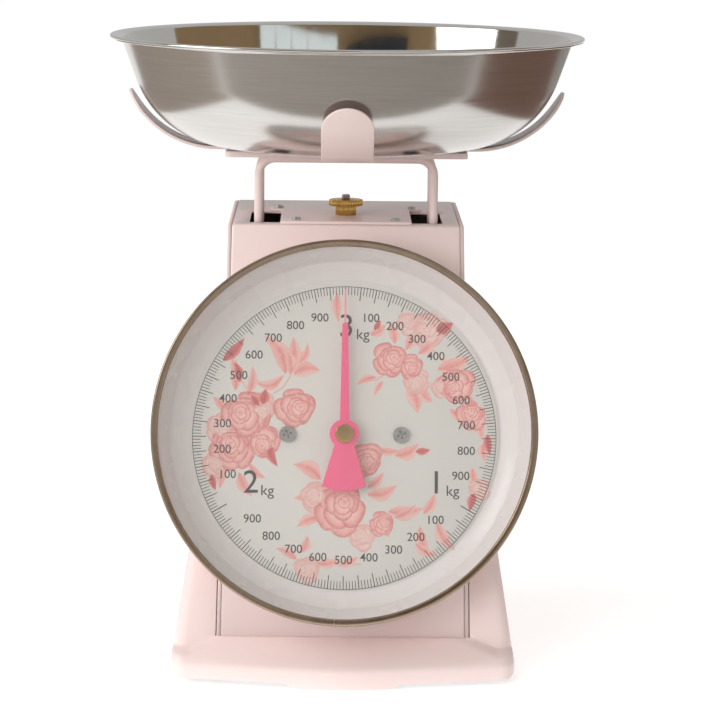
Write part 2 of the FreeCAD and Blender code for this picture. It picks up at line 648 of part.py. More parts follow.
def make_bridge():
    z = CASING_TOP
    bridge = plate(bridge_outline(z), BRIDGE_SHEET)
    holes = [rod(Vector(x, y, z - 1), Vector(x, y, z + 5), BRIDGE_SCREW_HOLE)
             for x, y in bridge_screw_places()]
    holes.append(rod(Vector(0, 0, z - 1), Vector(0, 0, z + 5), STUD_RADIUS + STUD_HOLE_GAP))
    parts["bridge_plate"] = bridge.cut(holes)
    screws = []
    for x, y in bridge_screw_places():
        screw = pan_screw(BRIDGE_SCREW_HEAD, BRIDGE_SCREW_SHANK, BRIDGE_SHEET + CASING_SHEET)
        screw.translate(Vector(x, y, z + BRIDGE_SHEET))
        screws.append(screw)
    parts["bridge_screws"] = group(screws)


# ---------------------------------------------------------------- casing

def casing_section(z, half, front_inset, rear_inset):
    return [Vector(-half, panel_y(z) + front_inset, z), Vector(half, panel_y(z) + front_inset, z),
            Vector(half, rear_y(z) - rear_inset, z), Vector(-half, rear_y(z) - rear_inset, z)]


def casing_block(half_bottom, half_top, front_inset, rear_inset, low, high):
    """A tapering block that follows the leaning front and back between two heights."""
    def half_at(z):
        share = (z - CASING_BOTTOM) / (CASING_TOP - CASING_BOTTOM)
        return half_bottom + (half_top - half_bottom) * share
    return loft(casing_section(low, half_at(low), front_inset, rear_inset),
                casing_section(high, half_at(high), front_inset, rear_inset))


def make_casing():
    sheet = CASING_SHEET
    slant = sheet / math.cos(math.radians(LEAN))
    # Front panel and top, one bent sheet with a flange down each side.
    outer = casing_block(PANEL_HALF_BOTTOM, PANEL_HALF_TOP, 0, sheet + LINER_OVERLAP,
                         CASING_BOTTOM, CASING_TOP)
    hollow = casing_block(PANEL_HALF_BOTTOM - sheet, PANEL_HALF_TOP - sheet, slant, -sheet,
                          CASING_BOTTOM - 1, CASING_TOP - sheet)
    front = outer.cut(hollow)
    side_opening = casing_block(PANEL_HALF_BOTTOM + 5, PANEL_HALF_TOP + 5, CASING_FLANGE, -sheet,
                                CASING_BOTTOM - 1, CASING_TOP - CASING_FLANGE)
    front = front.cut(side_opening)
    cuts = []
    for sign in (-1, 1):
        x0, x1 = sorted((sign * SLOT_INNER, sign * SLOT_OUTER))
        cuts.append(box(x0, x1, -SLOT_HALF_LENGTH, SLOT_HALF_LENGTH, CASING_TOP - 5, CASING_TOP + 5))
    cuts.append(rod(Vector(0, 0, CASING_TOP - 5), Vector(0, 0, CASING_TOP + 5), STUD_RADIUS + STUD_HOLE_GAP))
    for x, y in bridge_screw_places():
        cuts.append(rod(Vector(x, y, CASING_TOP - 5), Vector(x, y, CASING_TOP + 5), BRIDGE_SCREW_HOLE))
    cuts.append(dial_disc(PLATE_HOLE_RADIUS, -10, THROUGH))
    parts["casing_front"] = front.cut(cuts + dial_screw_holes())

    # Sides and back, one sheet wrapped round the inner frame.
    wrap = casing_block(SIDE_HALF_BOTTOM, SIDE_HALF_TOP, COVER_SETBACK, 0,
                        CASING_BOTTOM, CASING_TOP - COVER_DROP)
    core = casing_block(PANEL_HALF_BOTTOM + LINER_OVERLAP, PANEL_HALF_TOP + LINER_OVERLAP, -5, sheet,
                        CASING_BOTTOM - 1, CASING_TOP + 1)
    cover = wrap.cut(core)
    screw_holes = []
    screws = []
    for x in (-COVER_SCREW_X, COVER_SCREW_X):
        for z in (CASING_BOTTOM + COVER_SCREW_LOW, CASING_TOP - COVER_SCREW_HIGH):
            y = rear_y(z)
            reach = Vector(0, THROUGH / 2, 0)
            screw_holes.append(rod(Vector(x, y, z) - reach, Vector(x, y, z) + reach, COVER_SCREW_HOLE))
            screw = pan_screw(COVER_SCREW_HEAD, COVER_SCREW_SHANK, COVER_SCREW_LENGTH)
            screw.Placement = Placement(Vector(x, y + COVER_SCREW_SEAT, z), Rotation(UP, Vector(0, 1, 0)))
            screws.append(screw)
    parts["rear_cover"] = cover.cut(screw_holes)
    parts["casing_screws"] = group(screws)


# ---------------------------------------------------------------- base

def skirt_outline(inset):
    """Half-round-cornered outline of the base with a shallow point at the front centre."""
    half = BASE_HALF_WIDTH - inset
    front = BASE_FRONT_CORNER + inset
    tip = BASE_FRONT_CENTRE + inset
    rear = BASE_REAR - inset
    radius = BASE_CORNER_RADIUS - inset * 0.9
    corners = [Vector(0, tip, 0), Vector(half, front, 0), Vector(half, rear, 0),
               Vector(-half, rear, 0), Vector(-half, front, 0)]
    return corners, radius


def skirt_block(inset, low, high):
    corners, radius = skirt_outline(inset)
    lower = [Vector(point.x, point.y, low) for point in corners]
    block = plate(lower, high - low)
    upright = [edge for edge in block.Edges if is_along(edge, 2) and abs(edge.Vertexes[0].X) > 1]
    return block.makeFillet(radius, upright)


def apron_block(inset, low, high):
    """From the skirt's top edge up to the foot of the casing's panel."""
    corners, _ = skirt_outline(inset)
    lower = [Vector(point.x, point.y, low) for point in corners]
    half = SIDE_HALF_BOTTOM - inset
    y = panel_y(CASING_BOTTOM) - APRON_MARGIN + inset
    rear = rear_y(CASING_BOTTOM) + APRON_MARGIN - inset
    upper = [Vector(0, y, high), Vector(half, y, high), Vector(half, rear, high),
             Vector(-half, rear, high), Vector(-half, y, high)]
    return loft(lower, upper)


def wing_block(inset):
    """One flared side of the base, leaning against the casing's side."""
    x_in = SIDE_HALF_BOTTOM + WING_GAP
    if inset:
        x_in -= WING_HOLLOW_REACH
    top_x = side_half(WING_TOP) + WING_GAP + WING_LIP - inset
    low_z = SKIRT_TOP - inset
    high_z = WING_TOP - inset
    half = BASE_HALF_WIDTH - inset
    front_low = panel_y(low_z) + WING_SETBACK + inset
    front_high = panel_y(high_z) + WING_SETBACK + inset
    rear_low = rear_y(low_z) - WING_SETBACK - inset
    rear_high = rear_y(high_z) - WING_SETBACK - inset
    lower = [Vector(x_in, front_low, low_z), Vector(half, front_low, low_z),
             Vector(half, rear_low, low_z), Vector(x_in, rear_low, low_z)]
    upper = [Vector(x_in, front_high, high_z), Vector(top_x, front_high, high_z),
             Vector(top_x, rear_high, high_z), Vector(x_in, rear_high, high_z)]
    block = loft(lower, upper)
    slanted = [edge for edge in block.Edges if is_outer_corner(edge, low_z, high_z, top_x)]
    return block.makeFillet(WING_CORNER_RADIUS - inset, slanted)


def is_outer_corner(edge, low_z, high_z, least_x):
    """True for an edge that climbs the whole height on the outer side."""
    bounds = edge.BoundBox
    climbs = abs(bounds.ZMin - low_z) < 0.01 and abs(bounds.ZMax - high_z) < 0.01
    return climbs and bounds.XMax > least_x + 1


def side_half(z):
    share = (z - CASING_BOTTOM) / (CASING_TOP - CASING_BOTTOM)
    return SIDE_HALF_BOTTOM + (SIDE_HALF_TOP - SIDE_HALF_BOTTOM) * share


def make_base():
    sheet = BASE_SHEET
    right = wing_block(0)
    outer = fused([skirt_block(0, SKIRT_BOTTOM, SKIRT_TOP), apron_block(0, SKIRT_TOP, CASING_BOTTOM),
                   right, mirrored(right)])
    right_in = wing_block(sheet)
    inner = fused([skirt_block(sheet, SKIRT_BOTTOM - 1, SKIRT_TOP - sheet * 0.4),
                   apron_block(sheet, SKIRT_TOP - sheet * 0.4, CASING_BOTTOM - sheet),
                   right_in, mirrored(right_in)])
    tab_right = [Vector(TAB_FOOT_WIDTH / 2, BASE_FRONT_CENTRE, 0),
                 Vector(TAB_TOP_WIDTH / 2, BASE_FRONT_CENTRE, SKIRT_BOTTOM),
                 Vector(TAB_TOP_WIDTH / 2, BASE_FRONT_CENTRE, SKIRT_BOTTOM + TAB_ROOT)]
    tab_left = [Vector(-point.x, point.y, point.z) for point in reversed(tab_right)]
    tab = plate(tab_right + tab_left, THROUGH, Vector(0, 1, 0))
    tab_skin = skirt_block(0, -1, SKIRT_TOP).cut(skirt_block(sheet, -2, SKIRT_TOP + 1))
    shell = outer.cut(inner).fuse(tab.common(tab_skin)).removeSplitter()
    casing_room = casing_block(SIDE_HALF_BOTTOM + WING_GAP, SIDE_HALF_TOP + WING_GAP, -WING_GAP, -WING_GAP,
                               CASING_BOTTOM, CASING_TOP)
    ledge = BASE_OPENING_MARGIN
    opening = casing_block(PANEL_HALF_BOTTOM - ledge, PANEL_HALF_BOTTOM - ledge, ledge, ledge,
                           SKIRT_BOTTOM, CASING_BOTTOM + 1)
    parts["base_shell"] = shell.cut(casing_room).cut(opening)


def foot_places():
    foot_x = BASE_HALF_WIDTH - FOOT_INSET_X
    return [(x, y) for x in (-foot_x, foot_x)
            for y in (BASE_FRONT_CORNER + FOOT_INSET_Y, BASE_REAR - FOOT_INSET_Y)]


def make_bottom():
    """The flat plate that closes the base, with four rubber feet plugged into it."""
    low = SKIRT_BOTTOM
    floor = skirt_block(BASE_SHEET + BOTTOM_GAP, low, low + BOTTOM_SHEET)
    holes = [rod(Vector(x, y, low - 1), Vector(x, y, low + 3), FOOT_PLUG_RADIUS) for x, y in foot_places()]
    parts["bottom_plate"] = floor.cut(holes)
    feet = []
    for x, y in foot_places():
        foot = turned([(0, 0), (FOOT_RADIUS - FOOT_CHAMFER, 0), (FOOT_RADIUS, FOOT_CHAMFER),
                       (FOOT_RADIUS, low), (0, low)])
        plug = Part.makeCylinder(FOOT_PLUG_RADIUS, BOTTOM_SHEET, Vector(0, 0, low))
        foot = foot.fuse(plug).removeSplitter()
        foot.translate(Vector(x, y, 0))
        feet.append(foot)
    parts["rubber_feet"] = group(feet)


# ---------------------------------------------------------------- dial

def make_dial():
    parts["dial_drum"] = dial_turned([
        (DRUM_RADIUS, 0.0), (DRUM_RADIUS, DRUM_DEPTH), (DRUM_RADIUS - DRUM_SHEET, DRUM_DEPTH),
        (DRUM_RADIUS - DRUM_SHEET, DRUM_SHEET), (DRUM_HOLE_RADIUS, DRUM_SHEET),
        (DRUM_HOLE_RADIUS, 0.0)]).cut(dial_screw_holes())

    face = PLATE_LIFT - PLATE_SHEET
    back = face - DISH_SHEET
    side = DISH_SHEET / 2
    parts["dial_dish"] = dial_turned([
        (DISH_RIM_RADIUS, DRUM_DEPTH), (DISH_STEP_RADIUS, DISH_STEP_DEPTH), (DISH_FLOOR_RADIUS, face),
        (DRUM_HOLE_RADIUS, face), (DRUM_HOLE_RADIUS, back), (DISH_FLOOR_RADIUS + side, back),
        (DISH_STEP_RADIUS + side, DISH_STEP_DEPTH - DISH_SHEET),
        (DISH_RIM_RADIUS + side, DRUM_DEPTH - 2 * DISH_SHEET)]).cut(dial_screw_holes())

    plate_disc = dial_disc(PLATE_RADIUS, PLATE_LIFT - PLATE_SHEET, PLATE_SHEET)
    centre_hole = dial_disc(PLATE_HOLE_RADIUS, 0, THROUGH)
    parts["dial_plate"] = plate_disc.cut(centre_hole).cut(dial_screw_holes())

    screws = []
    for x in (-DIAL_SCREW_SPACING, DIAL_SCREW_SPACING):
        shank = PLATE_LIFT + MOVEMENT_FRONT + MOVEMENT_SHEET + DIAL_SCREW_OVERRUN
        screw = pan_screw(DIAL_SCREW_HEAD, DIAL_SCREW_SHANK, shank)
        screw.Placement = Placement(Vector(x, -PLATE_LIFT, 0), Rotation(UP, OPEN_FRONT))
        screws.append(on_dial(screw))
    parts["dial_screws"] = group(screws)

    lens_back = DRUM_DEPTH + LENS_GAP
    parts["lens"] = dial_disc(LENS_RADIUS, lens_back, LENS_SHEET)


def make_bezel():
    """A ring pressed over the drum that holds the lens."""
    front = BEZEL_FRONT
    sheet = BEZEL_SHEET
    face_in = BEZEL_RADIUS - BEZEL_FACE_WIDTH
    back = front - BEZEL_DEPTH
    lens_front = DRUM_DEPTH + LENS_GAP + LENS_SHEET + RUNNING_GAP
    nose = BEZEL_NOSE
    roll = BEZEL_ROLL
    parts["bezel"] = dial_turned([
        (BEZEL_RADIUS, back), (BEZEL_RADIUS, front - nose), (BEZEL_RADIUS - nose, front), (face_in, front),
        (face_in - roll, front - sheet), (face_in - roll, lens_front), (face_in, lens_front),
        (BEZEL_RADIUS - sheet, front - sheet - roll), (BEZEL_RADIUS - sheet, back)])


def dial_screw_holes():
    return [dial_disc(DIAL_SCREW_HOLE, -10, THROUGH, x) for x in (-DIAL_SCREW_SPACING, DIAL_SCREW_SPACING)]


def make_pointer():
    """The pointer at rest points straight up the dial."""
    y = -POINTER_LIFT
    broad = POINTER_HALF_WIDTH
    right = [Vector(broad, y, 0), Vector(POINTER_TIP_HALF_WIDTH, y, POINTER_BROAD_LENGTH),
             Vector(NEEDLE_HALF_WIDTH, y, POINTER_BROAD_LENGTH + 2),
             Vector(NEEDLE_HALF_WIDTH, y, POINTER_LENGTH)]
    outline = right + [Vector(-point.x, y, point.z) for point in reversed(right)]
    arm = plate(outline, POINTER_SHEET, OPEN_FRONT)
    hub = Part.makeCylinder(POINTER_HUB_RADIUS, POINTER_SHEET, Vector(0, y, 0), OPEN_FRONT)
    tail_half = POINTER_TAIL_WIDTH / 2
    tail_side = math.sqrt(POINTER_TAIL ** 2 - tail_half ** 2)
    edges = [Part.makeLine(Vector(-broad, y, 0), Vector(-tail_half, y, -tail_side)),
             Part.Arc(Vector(-tail_half, y, -tail_side), Vector(0, y, -POINTER_TAIL),
                      Vector(tail_half, y, -tail_side)).toShape(),
             Part.makeLine(Vector(tail_half, y, -tail_side), Vector(broad, y, 0)),
             Part.makeLine(Vector(broad, y, 0), Vector(-broad, y, 0))]
    tail = Part.Face(Part.Wire(Part.__sortEdges__(edges))).extrude(OPEN_FRONT * POINTER_SHEET)
    bore = Part.makeCylinder(SHAFT_RADIUS, 10, Vector(0, y + 5, 0), OPEN_FRONT)
    parts["pointer"] = on_dial(fused([arm, hub, tail]).cut(bore))

    slope = POINTER_CAP_CHAMFER
    cap = turned([(0, 0), (POINTER_CAP_RADIUS, 0), (POINTER_CAP_RADIUS, POINTER_CAP_HEIGHT - slope),
                  (POINTER_CAP_RADIUS - slope, POINTER_CAP_HEIGHT), (0, POINTER_CAP_HEIGHT)])
    cap.Placement = Placement(Vector(0, y - POINTER_SHEET, 0), Rotation(UP, OPEN_FRONT))
    parts["pointer_cap"] = on_dial(cap)


# ---------------------------------------------------------------- rack, pinion and movement

def involute_point(base_radius, radius):
    """Polar angle that the involute of base_radius has turned through at a larger radius."""
    roll = math.sqrt(max(0.0, (radius / base_radius) ** 2 - 1))
    return roll - math.atan(roll)


def make_pinion():
    """Drawn about the Y axis at the dial's centre, a tooth space facing the rack on +X."""
    pitch = GEAR_MODULE * PINION_TEETH / 2
    base = pitch * math.cos(math.radians(PRESSURE_ANGLE))
    tip = pitch + GEAR_MODULE * PINION_ADDENDUM
    root = pitch - GEAR_MODULE * DEDENDUM
    tooth_half = (math.pi / 2 / PINION_TEETH) - BACKLASH / 2 / pitch
    step = 2 * math.pi / PINION_TEETH
    outline = []
    for tooth in range(PINION_TEETH):
        middle = step * (tooth + 0.5)
        flank = []
        for share in (0, 0.35, 0.7, 1):
            radius = base + (tip - base) * share
            half = tooth_half + involute_point(base, pitch) - involute_point(base, radius)
            flank.append((radius, half))
        outline.append((root, middle - flank[0][1]))
        outline += [(radius, middle - half) for radius, half in flank]
        outline += [(radius, middle + half) for radius, half in reversed(flank)]
        outline.append((root, middle + flank[0][1]))
    points = [Vector(radius * math.cos(angle), PINION_DEPTH, radius * math.sin(angle))
              for radius, angle in outline]
    gear = plate(points, PINION_LENGTH, Vector(0, 1, 0))
    front_end = -POINTER_LIFT - POINTER_SHEET
    rear_end = PINION_DEPTH + PINION_LENGTH + SHAFT_REAR_OVERHANG
    shaft = rod(Vector(0, front_end, 0), Vector(0, rear_end, 0), SHAFT_RADIUS)
    parts["pinion_shaft"] = on_dial(fused([gear, shaft]))


def make_rack():
    """Toothed bar parallel to the dial, to the right of the pinion, carried by the load bar."""
    pitch_x = GEAR_MODULE * PINION_TEETH / 2
    spacing = math.pi * GEAR_MODULE
    slope = math.tan(math.radians(PRESSURE_ANGLE))
    tip = GEAR_MODULE * RACK_ADDENDUM
    root = GEAR_MODULE * DEDENDUM
    half = spacing / 4 - BACKLASH / 2
    travel_in_plane = 2 * math.pi * pitch_x
    margin = 3
    low = -margin
    high = int(travel_in_plane / spacing) + margin
    y = PINION_DEPTH + RACK_INSET
    back_x = pitch_x + root + RACK_BACK
    points = [Vector(back_x, y, (low - 1) * spacing), Vector(pitch_x + root, y, (low - 1) * spacing)]
    for tooth in range(low, high + 1):
        z = tooth * spacing
        points += [Vector(pitch_x + root, y, z - half - root * slope),
                   Vector(pitch_x - tip, y, z - half + tip * slope),
                   Vector(pitch_x - tip, y, z + half - tip * slope),
                   Vector(pitch_x + root, y, z + half + root * slope)]
    points += [Vector(pitch_x + root, y, (high + 1) * spacing), Vector(back_x, y, (high + 1) * spacing)]
    toothed = on_dial(plate(points, RACK_THICKNESS, Vector(0, 1, 0)))
    foot_y = panel_y(DIAL_HEIGHT) + y * math.cos(math.radians(LEAN))
    arm_left = pitch_x + root + RACK_ARM_INSET
    arm_front = foot_y - RACK_ARM_OVERLAP
    arm = box(arm_left, back_x, arm_front, -LOAD_BAR_NECK, LOAD_BAR_Z, LOAD_BAR_Z + LOAD_BAR_SHEET)
    parts["rack"] = fused([toothed, arm])


def make_movement():
    """Two plates on pillars that carry the pinion's bushes, held by the dial screws."""
    front = MOVEMENT_FRONT
    rear = PINION_DEPTH + PINION_LENGTH + MOVEMENT_END_PLAY
    sheet = MOVEMENT_SHEET
    half = MOVEMENT_HALF_HEIGHT
    bush_holes = [dial_disc(BUSH_RADIUS, -60, 60)]
    pillar_holes = [dial_disc(PILLAR_RADIUS / 2, -60, 60, PILLAR_X, z) for z in (-PILLAR_Z, PILLAR_Z)]
    wide = on_dial(box(-MOVEMENT_HALF_WIDTH, MOVEMENT_HALF_WIDTH, front, front + sheet, -half, half))
    narrow = on_dial(box(PILLAR_X - PILLAR_MARGIN, MOVEMENT_REAR_EDGE, rear, rear + sheet, -half, half))
    parts["movement_front_plate"] = wide.cut(bush_holes + pillar_holes + dial_screw_holes())
    parts["movement_rear_plate"] = narrow.cut(bush_holes + pillar_holes)

    pillars = []
    for z in (-PILLAR_Z, PILLAR_Z):
        body = dial_disc(PILLAR_RADIUS, -rear, rear - front - sheet, PILLAR_X, z)
        spigot = dial_disc(PILLAR_RADIUS / 2, -rear - sheet, rear + sheet - front, PILLAR_X, z)
        pillars.append(fused([body, spigot]))
    parts["movement_pillars"] = group(pillars)

    bore = [dial_disc(SHAFT_RADIUS + RUNNING_GAP, -60, 60)]
    bushes = [dial_disc(BUSH_RADIUS, -start - BUSH_LENGTH, BUSH_LENGTH).cut(bore) for start in (front, rear)]
    parts["pinion_bushes"] = group(bushes)

    sleeve_start = CASING_SHEET / math.cos(math.radians(LEAN))
    sleeves = []
    for x in (-DIAL_SCREW_SPACING, DIAL_SCREW_SPACING):
        sleeve = dial_disc(DIAL_SCREW_HEAD, -front, front - sleeve_start, x)
        sleeves.append(sleeve.cut(dial_screw_holes()))
    parts["movement_spacers"] = group(sleeves)


def make_stay_bracket():
    """Folded bracket on the inside of the back, with ears for the stay link's fixed pivot."""
    pivot = stay_pivot()
    inner = CASING_SHEET + RUNNING_GAP
    low = pivot.z - STAY_BRACKET_HALF_HEIGHT
    high = pivot.z + STAY_BRACKET_HALF_HEIGHT
    outer_x = STAY_HALF_WIDTH + STAY_EAR_GAP + STAY_EAR_SHEET

    def side_plate(x, width, front_y):
        points = [Vector(x, front_y, low), Vector(x, rear_y(low) - inner, low),
                  Vector(x, rear_y(high) - inner, high), Vector(x, front_y, high)]
        return plate(points, width, Vector(1, 0, 0))

    back = side_plate(-outer_x, 2 * outer_x, rear_y(high) - inner - STAY_EAR_SHEET)
    ears = [side_plate(x, STAY_EAR_SHEET, pivot.y - STAY_EYE_RADIUS)
            for x in (-outer_x, outer_x - STAY_EAR_SHEET)]
    reach = Vector(outer_x + STAY_PIN_OVERHANG, 0, 0)
    pin = rod(pivot - reach, pivot + reach, STAY_PIN_RADIUS)
    parts["stay_bracket"] = fused([back] + ears).cut(pin)
    parts["stay_pivot_pin"] = pin


def make_all():
    make_bowl()
    make_carrier()
    make_yoke()
    make_stay_link()
    make_springs()
    make_zero_nut()
    make_bridge()
    make_casing()
    make_base()
    make_bottom()
    make_dial()
    make_bezel()
    make_pointer()
    make_pinion()
    make_rack()
    make_movement()
    make_stay_bracket()


make_all()
os.makedirs("parts", exist_ok=True)
for name, shape in parts.items():
    shape.exportStep("parts/" + name + ".step")
    print(name, len(shape.Solids), shape.isValid(), round(shape.Volume, 1))
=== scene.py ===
import json
import math
import random

import bmesh
import bpy
from mathutils import Matrix, Vector


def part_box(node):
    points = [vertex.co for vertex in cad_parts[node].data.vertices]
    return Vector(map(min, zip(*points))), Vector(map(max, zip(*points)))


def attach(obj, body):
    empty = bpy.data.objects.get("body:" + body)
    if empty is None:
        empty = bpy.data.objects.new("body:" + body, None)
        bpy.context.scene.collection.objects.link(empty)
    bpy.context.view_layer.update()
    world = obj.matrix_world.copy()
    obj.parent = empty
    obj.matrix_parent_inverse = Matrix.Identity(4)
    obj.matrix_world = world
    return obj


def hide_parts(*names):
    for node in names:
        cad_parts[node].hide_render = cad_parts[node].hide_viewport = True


# A kitchen scale: pink enamelled body, leaning dial with a printed card, steel bowl on a carrier.

MM = 0.001
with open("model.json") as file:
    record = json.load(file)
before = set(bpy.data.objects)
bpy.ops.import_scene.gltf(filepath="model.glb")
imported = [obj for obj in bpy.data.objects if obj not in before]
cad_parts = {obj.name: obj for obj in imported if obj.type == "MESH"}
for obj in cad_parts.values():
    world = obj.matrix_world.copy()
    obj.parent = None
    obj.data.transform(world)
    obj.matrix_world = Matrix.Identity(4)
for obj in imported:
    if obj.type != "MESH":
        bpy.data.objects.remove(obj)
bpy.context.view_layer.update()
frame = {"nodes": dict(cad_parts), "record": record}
joints = {joint["name"]: joint for joint in frame["record"]["behaviour"]["joints"]}

# ---- Places read from the frame, in metres
BOWL_LOW, BOWL_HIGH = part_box("bowl")
ARMS_LOW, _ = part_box("carrier_arms")
CHANNEL_LOW, CHANNEL_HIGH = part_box("carrier_channel")
YOKE_LOW, YOKE_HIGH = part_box("yoke_front")
NUT_LOW, NUT_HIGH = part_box("zero_nut")
STUD_LOW, STUD_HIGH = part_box("zero_stud")
BRIDGE_LOW, BRIDGE_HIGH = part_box("bridge_plate")

# ---- Sizes that shape the looks, in millimetres
BOWL_WALL = 0.8
BOWL_FLOOR_RADIUS = 57.0
BOWL_CORNER_RADIUS = 48.0
BOWL_WALL_SLOPE = 19.0
LIP_WIDTH = 6.4
LIP_DROP = 3.2
ARM_SHEET = 1.5
ARM_FLAT = 63.0
ARM_BEND_RADIUS = 47.0
ARM_BEND_ANGLE = 66.0
ARM_WIDTH = 24.2
ROD_RADIUS = 2.08
ROD_SPREAD = 42.35
ROD_BEND_RADIUS = 8.0
LEAN = 15.0
CASING_TOP = 209.5
CASING_BOTTOM = 19.4
CASING_FRONT = -30.2
CASING_REAR = 73.7
REAR_LEAN = 3.0
PANEL_HALF = (58.0, 54.8)     # bottom, top
COVER_HALF = (59.8, 56.6)
SLOT_INNER = 26.0
SLOT_OUTER = 46.6
SLOT_HALF_LENGTH = 21.5
SKIRT_BOTTOM = 2.4
SKIRT_TOP = 9.6
BASE_HALF = 81.3
BASE_CORNER_Y = -93.0
BASE_TIP_Y = -106.0
BASE_REAR_Y = 88.0
BASE_CORNER_RADIUS = 9.0
WING_TOP = 112.0
WING_GAP = 0.4
WING_LIP = 7.0
WING_SETBACK = 0.6
WING_TOP_SHARE = 0.51         # how far up the casing the wings reach
WING_CORNER_RADIUS = 6.0
WING_ROUNDING = 2.6           # of the wings' top edges
WING_EDGE_ROUNDING = 0.8      # of their edges beside the casing
SKIRT_SOFTNESS = 0.14         # share of the apron that its lower edge is rounded over
TIP_SOFTNESS = 14.0
APRON_MARGIN = 1.2
HIP_WIDTH = 6.0               # blend between an apron and a wing
LOW_CORNER_RADIUS = 4.0
TAB_ROOT_HALF = 27.0
TAB_FOOT_HALF = 22.0
TAB_FOOT = 0.05
BASE_SHEET = 1.2
DRUM_RADIUS = 89.6
DRUM_DEPTH = 21.5
DISH_RIM = 88.4
DISH_STEP = 81.5
DISH_STEP_DEPTH = 9.0
DISH_FLOOR = 74.0
PLATE_LIFT = 4.0
PLATE_RADIUS = 73.6
BEZEL_RADIUS = 91.0
BEZEL_BACK = 16.0
BEZEL_FRONT = 25.0
BEZEL_SEAM = -92.6            # where the ring's ends meet, in degrees
BEZEL_SEAM_GAP = 0.22
SCREW_SPACING = 27.0
DIAL_SCREW = (4.0, 2.2)       # radius and height of the head
BRIDGE_SCREW = (2.1, 1.2)
POINTER_LIFT = 10.0
POINTER_SHEET = 0.8
ARM_REACH = 53.0              # of the pointer's painted arm, from its pivot
NEEDLE_REACH = 69.0
ARM_ROOT_HALF = 2.25
ARM_TIP_HALF = 1.45
HUB_RADIUS = 7.0
TAIL_RADIUS = 27.0
TAIL_HALF = 10.5
BRIDGE_STEP = 21.0            # where the bridge plate gets wider
BRIDGE_FRONT_INSET = 5.9
THREAD_PITCH = 0.8
THREAD_DEPTH = 0.35

DIAL_RADIUS = 72.0            # outer end of the printed ticks
DIAL_KILOGRAMS = 3
TICKS_PER_KILOGRAM = 100
KILOGRAM_TICK = (8.0, 0.46)   # length and width
MIDDLE_TICK = (6.3, 0.38)
SHORT_TICK = (3.8, 0.30)
TICK_RING_WIDTH = 0.28
NUMERAL_RADIUS = 58.3
NUMERAL_SIZE = 5.7
KILOGRAM_SIZE = 15.5
KILOGRAM_PLACES = {3: (0.6, 52.8), 1: (43.8, -21.6), 2: (-44.2, -22.0)}
UNIT_SIZE = 7.2
UNIT_SHIFT = (7.8, -3.6)      # of "kg", from the middle of its numeral
STEM_WIDTH = 0.7
PETAL_CURL = 0.5              # turn of a petal from base to edge, in radians
PRINT_LIFT = 0.02
PRINT_CENTRE = (0.0, -1.3)    # the card is printed a little low

# ---- Stage and camera, in metres and degrees
CAMERA_PLACE = (-0.0076, -1.46022, 0.38635)
CAMERA_YAW = -0.6
CAMERA_DIP = 9.62
CAMERA_ROLL = 0.6
CAMERA_LENS = 150.0
WORLD_STRENGTH = 0.54
BOWL_PLACE = (0, 0, 0.28)     # what the cards of the room face
LIGHT_AIM = (0, 0, 0.15)
WALL_DISTANCE = 3.4
WINDOW_DISTANCE = 3.1
ROOM_ELEVATION = 34           # where the bowl's far wall mirrors the room


# ---- Colour and material helpers

def srgb(red, green, blue):
    """Linear colour from 0-255 display values."""
    def linear(value):
        share = value / 255
        return share / 12.92 if share <= 0.04045 else ((share + 0.055) / 1.055) ** 2.4
    return linear(red), linear(green), linear(blue), 1.0


class Finish:
    """A node material with a Principled shader and a few shortcuts for building it."""

    def __init__(self, name):
        self.material = bpy.data.materials.new(name)
        self.material.use_nodes = True
        self.tree = self.material.node_tree
        self.shader = self.tree.nodes["Principled BSDF"]
        self.coords = self.add("TexCoord")

    def fill(self, socket, value):
        """Gives a socket a plain value or another node's output."""
        if isinstance(value, bpy.types.NodeSocket):
            self.tree.links.new(value, socket)
        else:
            socket.default_value = value

    def add(self, kind, values=None, **settings):
        """A new node, its inputs by name or number."""
        node = self.tree.nodes.new("ShaderNode" + kind)
        for name, setting in settings.items():
            setattr(node, name, setting)
        for name, value in (values or {}).items():
            self.fill(node.inputs[name], value)
        return node

    def set(self, **values):
        """Fills the shader's own inputs."""
        for name, value in values.items():
            self.fill(self.shader.inputs[name.replace("_", " ")], value)

    def stretched(self, scale, source="Object"):
        mapping = self.add("Mapping", {"Vector": self.coords.outputs[source], "Scale": scale})
        return mapping.outputs["Vector"]

    def noise(self, scale, detail=3.0, roughness=0.5, vector=None):
        values = {"Scale": scale, "Detail": detail, "Roughness": roughness}
        values["Vector"] = vector or self.coords.outputs["Object"]
        return self.add("TexNoise", values).outputs["Fac"]

    def ramp(self, factor, stops):
        ramp = self.add("ValToRGB", {"Fac": factor})
        elements = ramp.color_ramp.elements
        while len(elements) < len(stops):
            elements.new(0.5)
        for element, (place, colour) in zip(elements, stops):
            element.position = place
            element.color = colour
        return ramp.outputs["Color"]

    def spread(self, factor, low, high, start=0.1, end=0.9):
        """Maps a factor, which noise keeps mostly near the middle, to a range of values."""
        values = {"Value": factor, "From Min": start, "From Max": end, "To Min": low, "To Max": high}
        return self.add("MapRange", values).outputs["Result"]

    def bump(self, height, strength, distance):
        node = self.add("Bump", {"Height": height, "Strength": strength, "Distance": distance})
        self.set(Normal=node.outputs["Normal"])


def shade(colour, factor):
    return tuple(min(1.0, channel * factor) for channel in colour[:3]) + (1.0,)


def make_enamel(name, colour, rough=(0.27, 0.33), peel=0.05):
    """Powder coat: faint cloudiness, orange peel and a thin clear gloss."""
    finish = Finish(name)
    cloud = finish.noise(30, 4, 0.5)
    finish.set(Base_Color=finish.ramp(cloud, [(0.0, shade(colour, 0.985)), (1.0, shade(colour, 1.01))]))
    finish.set(Roughness=finish.spread(finish.noise(45, 2), *rough))
    finish.bump(finish.noise(650, 2, 0.55), peel, 0.0004)
    finish.set(Coat_Weight=0.25, Coat_Roughness=0.12, IOR=1.5)
    return finish.material


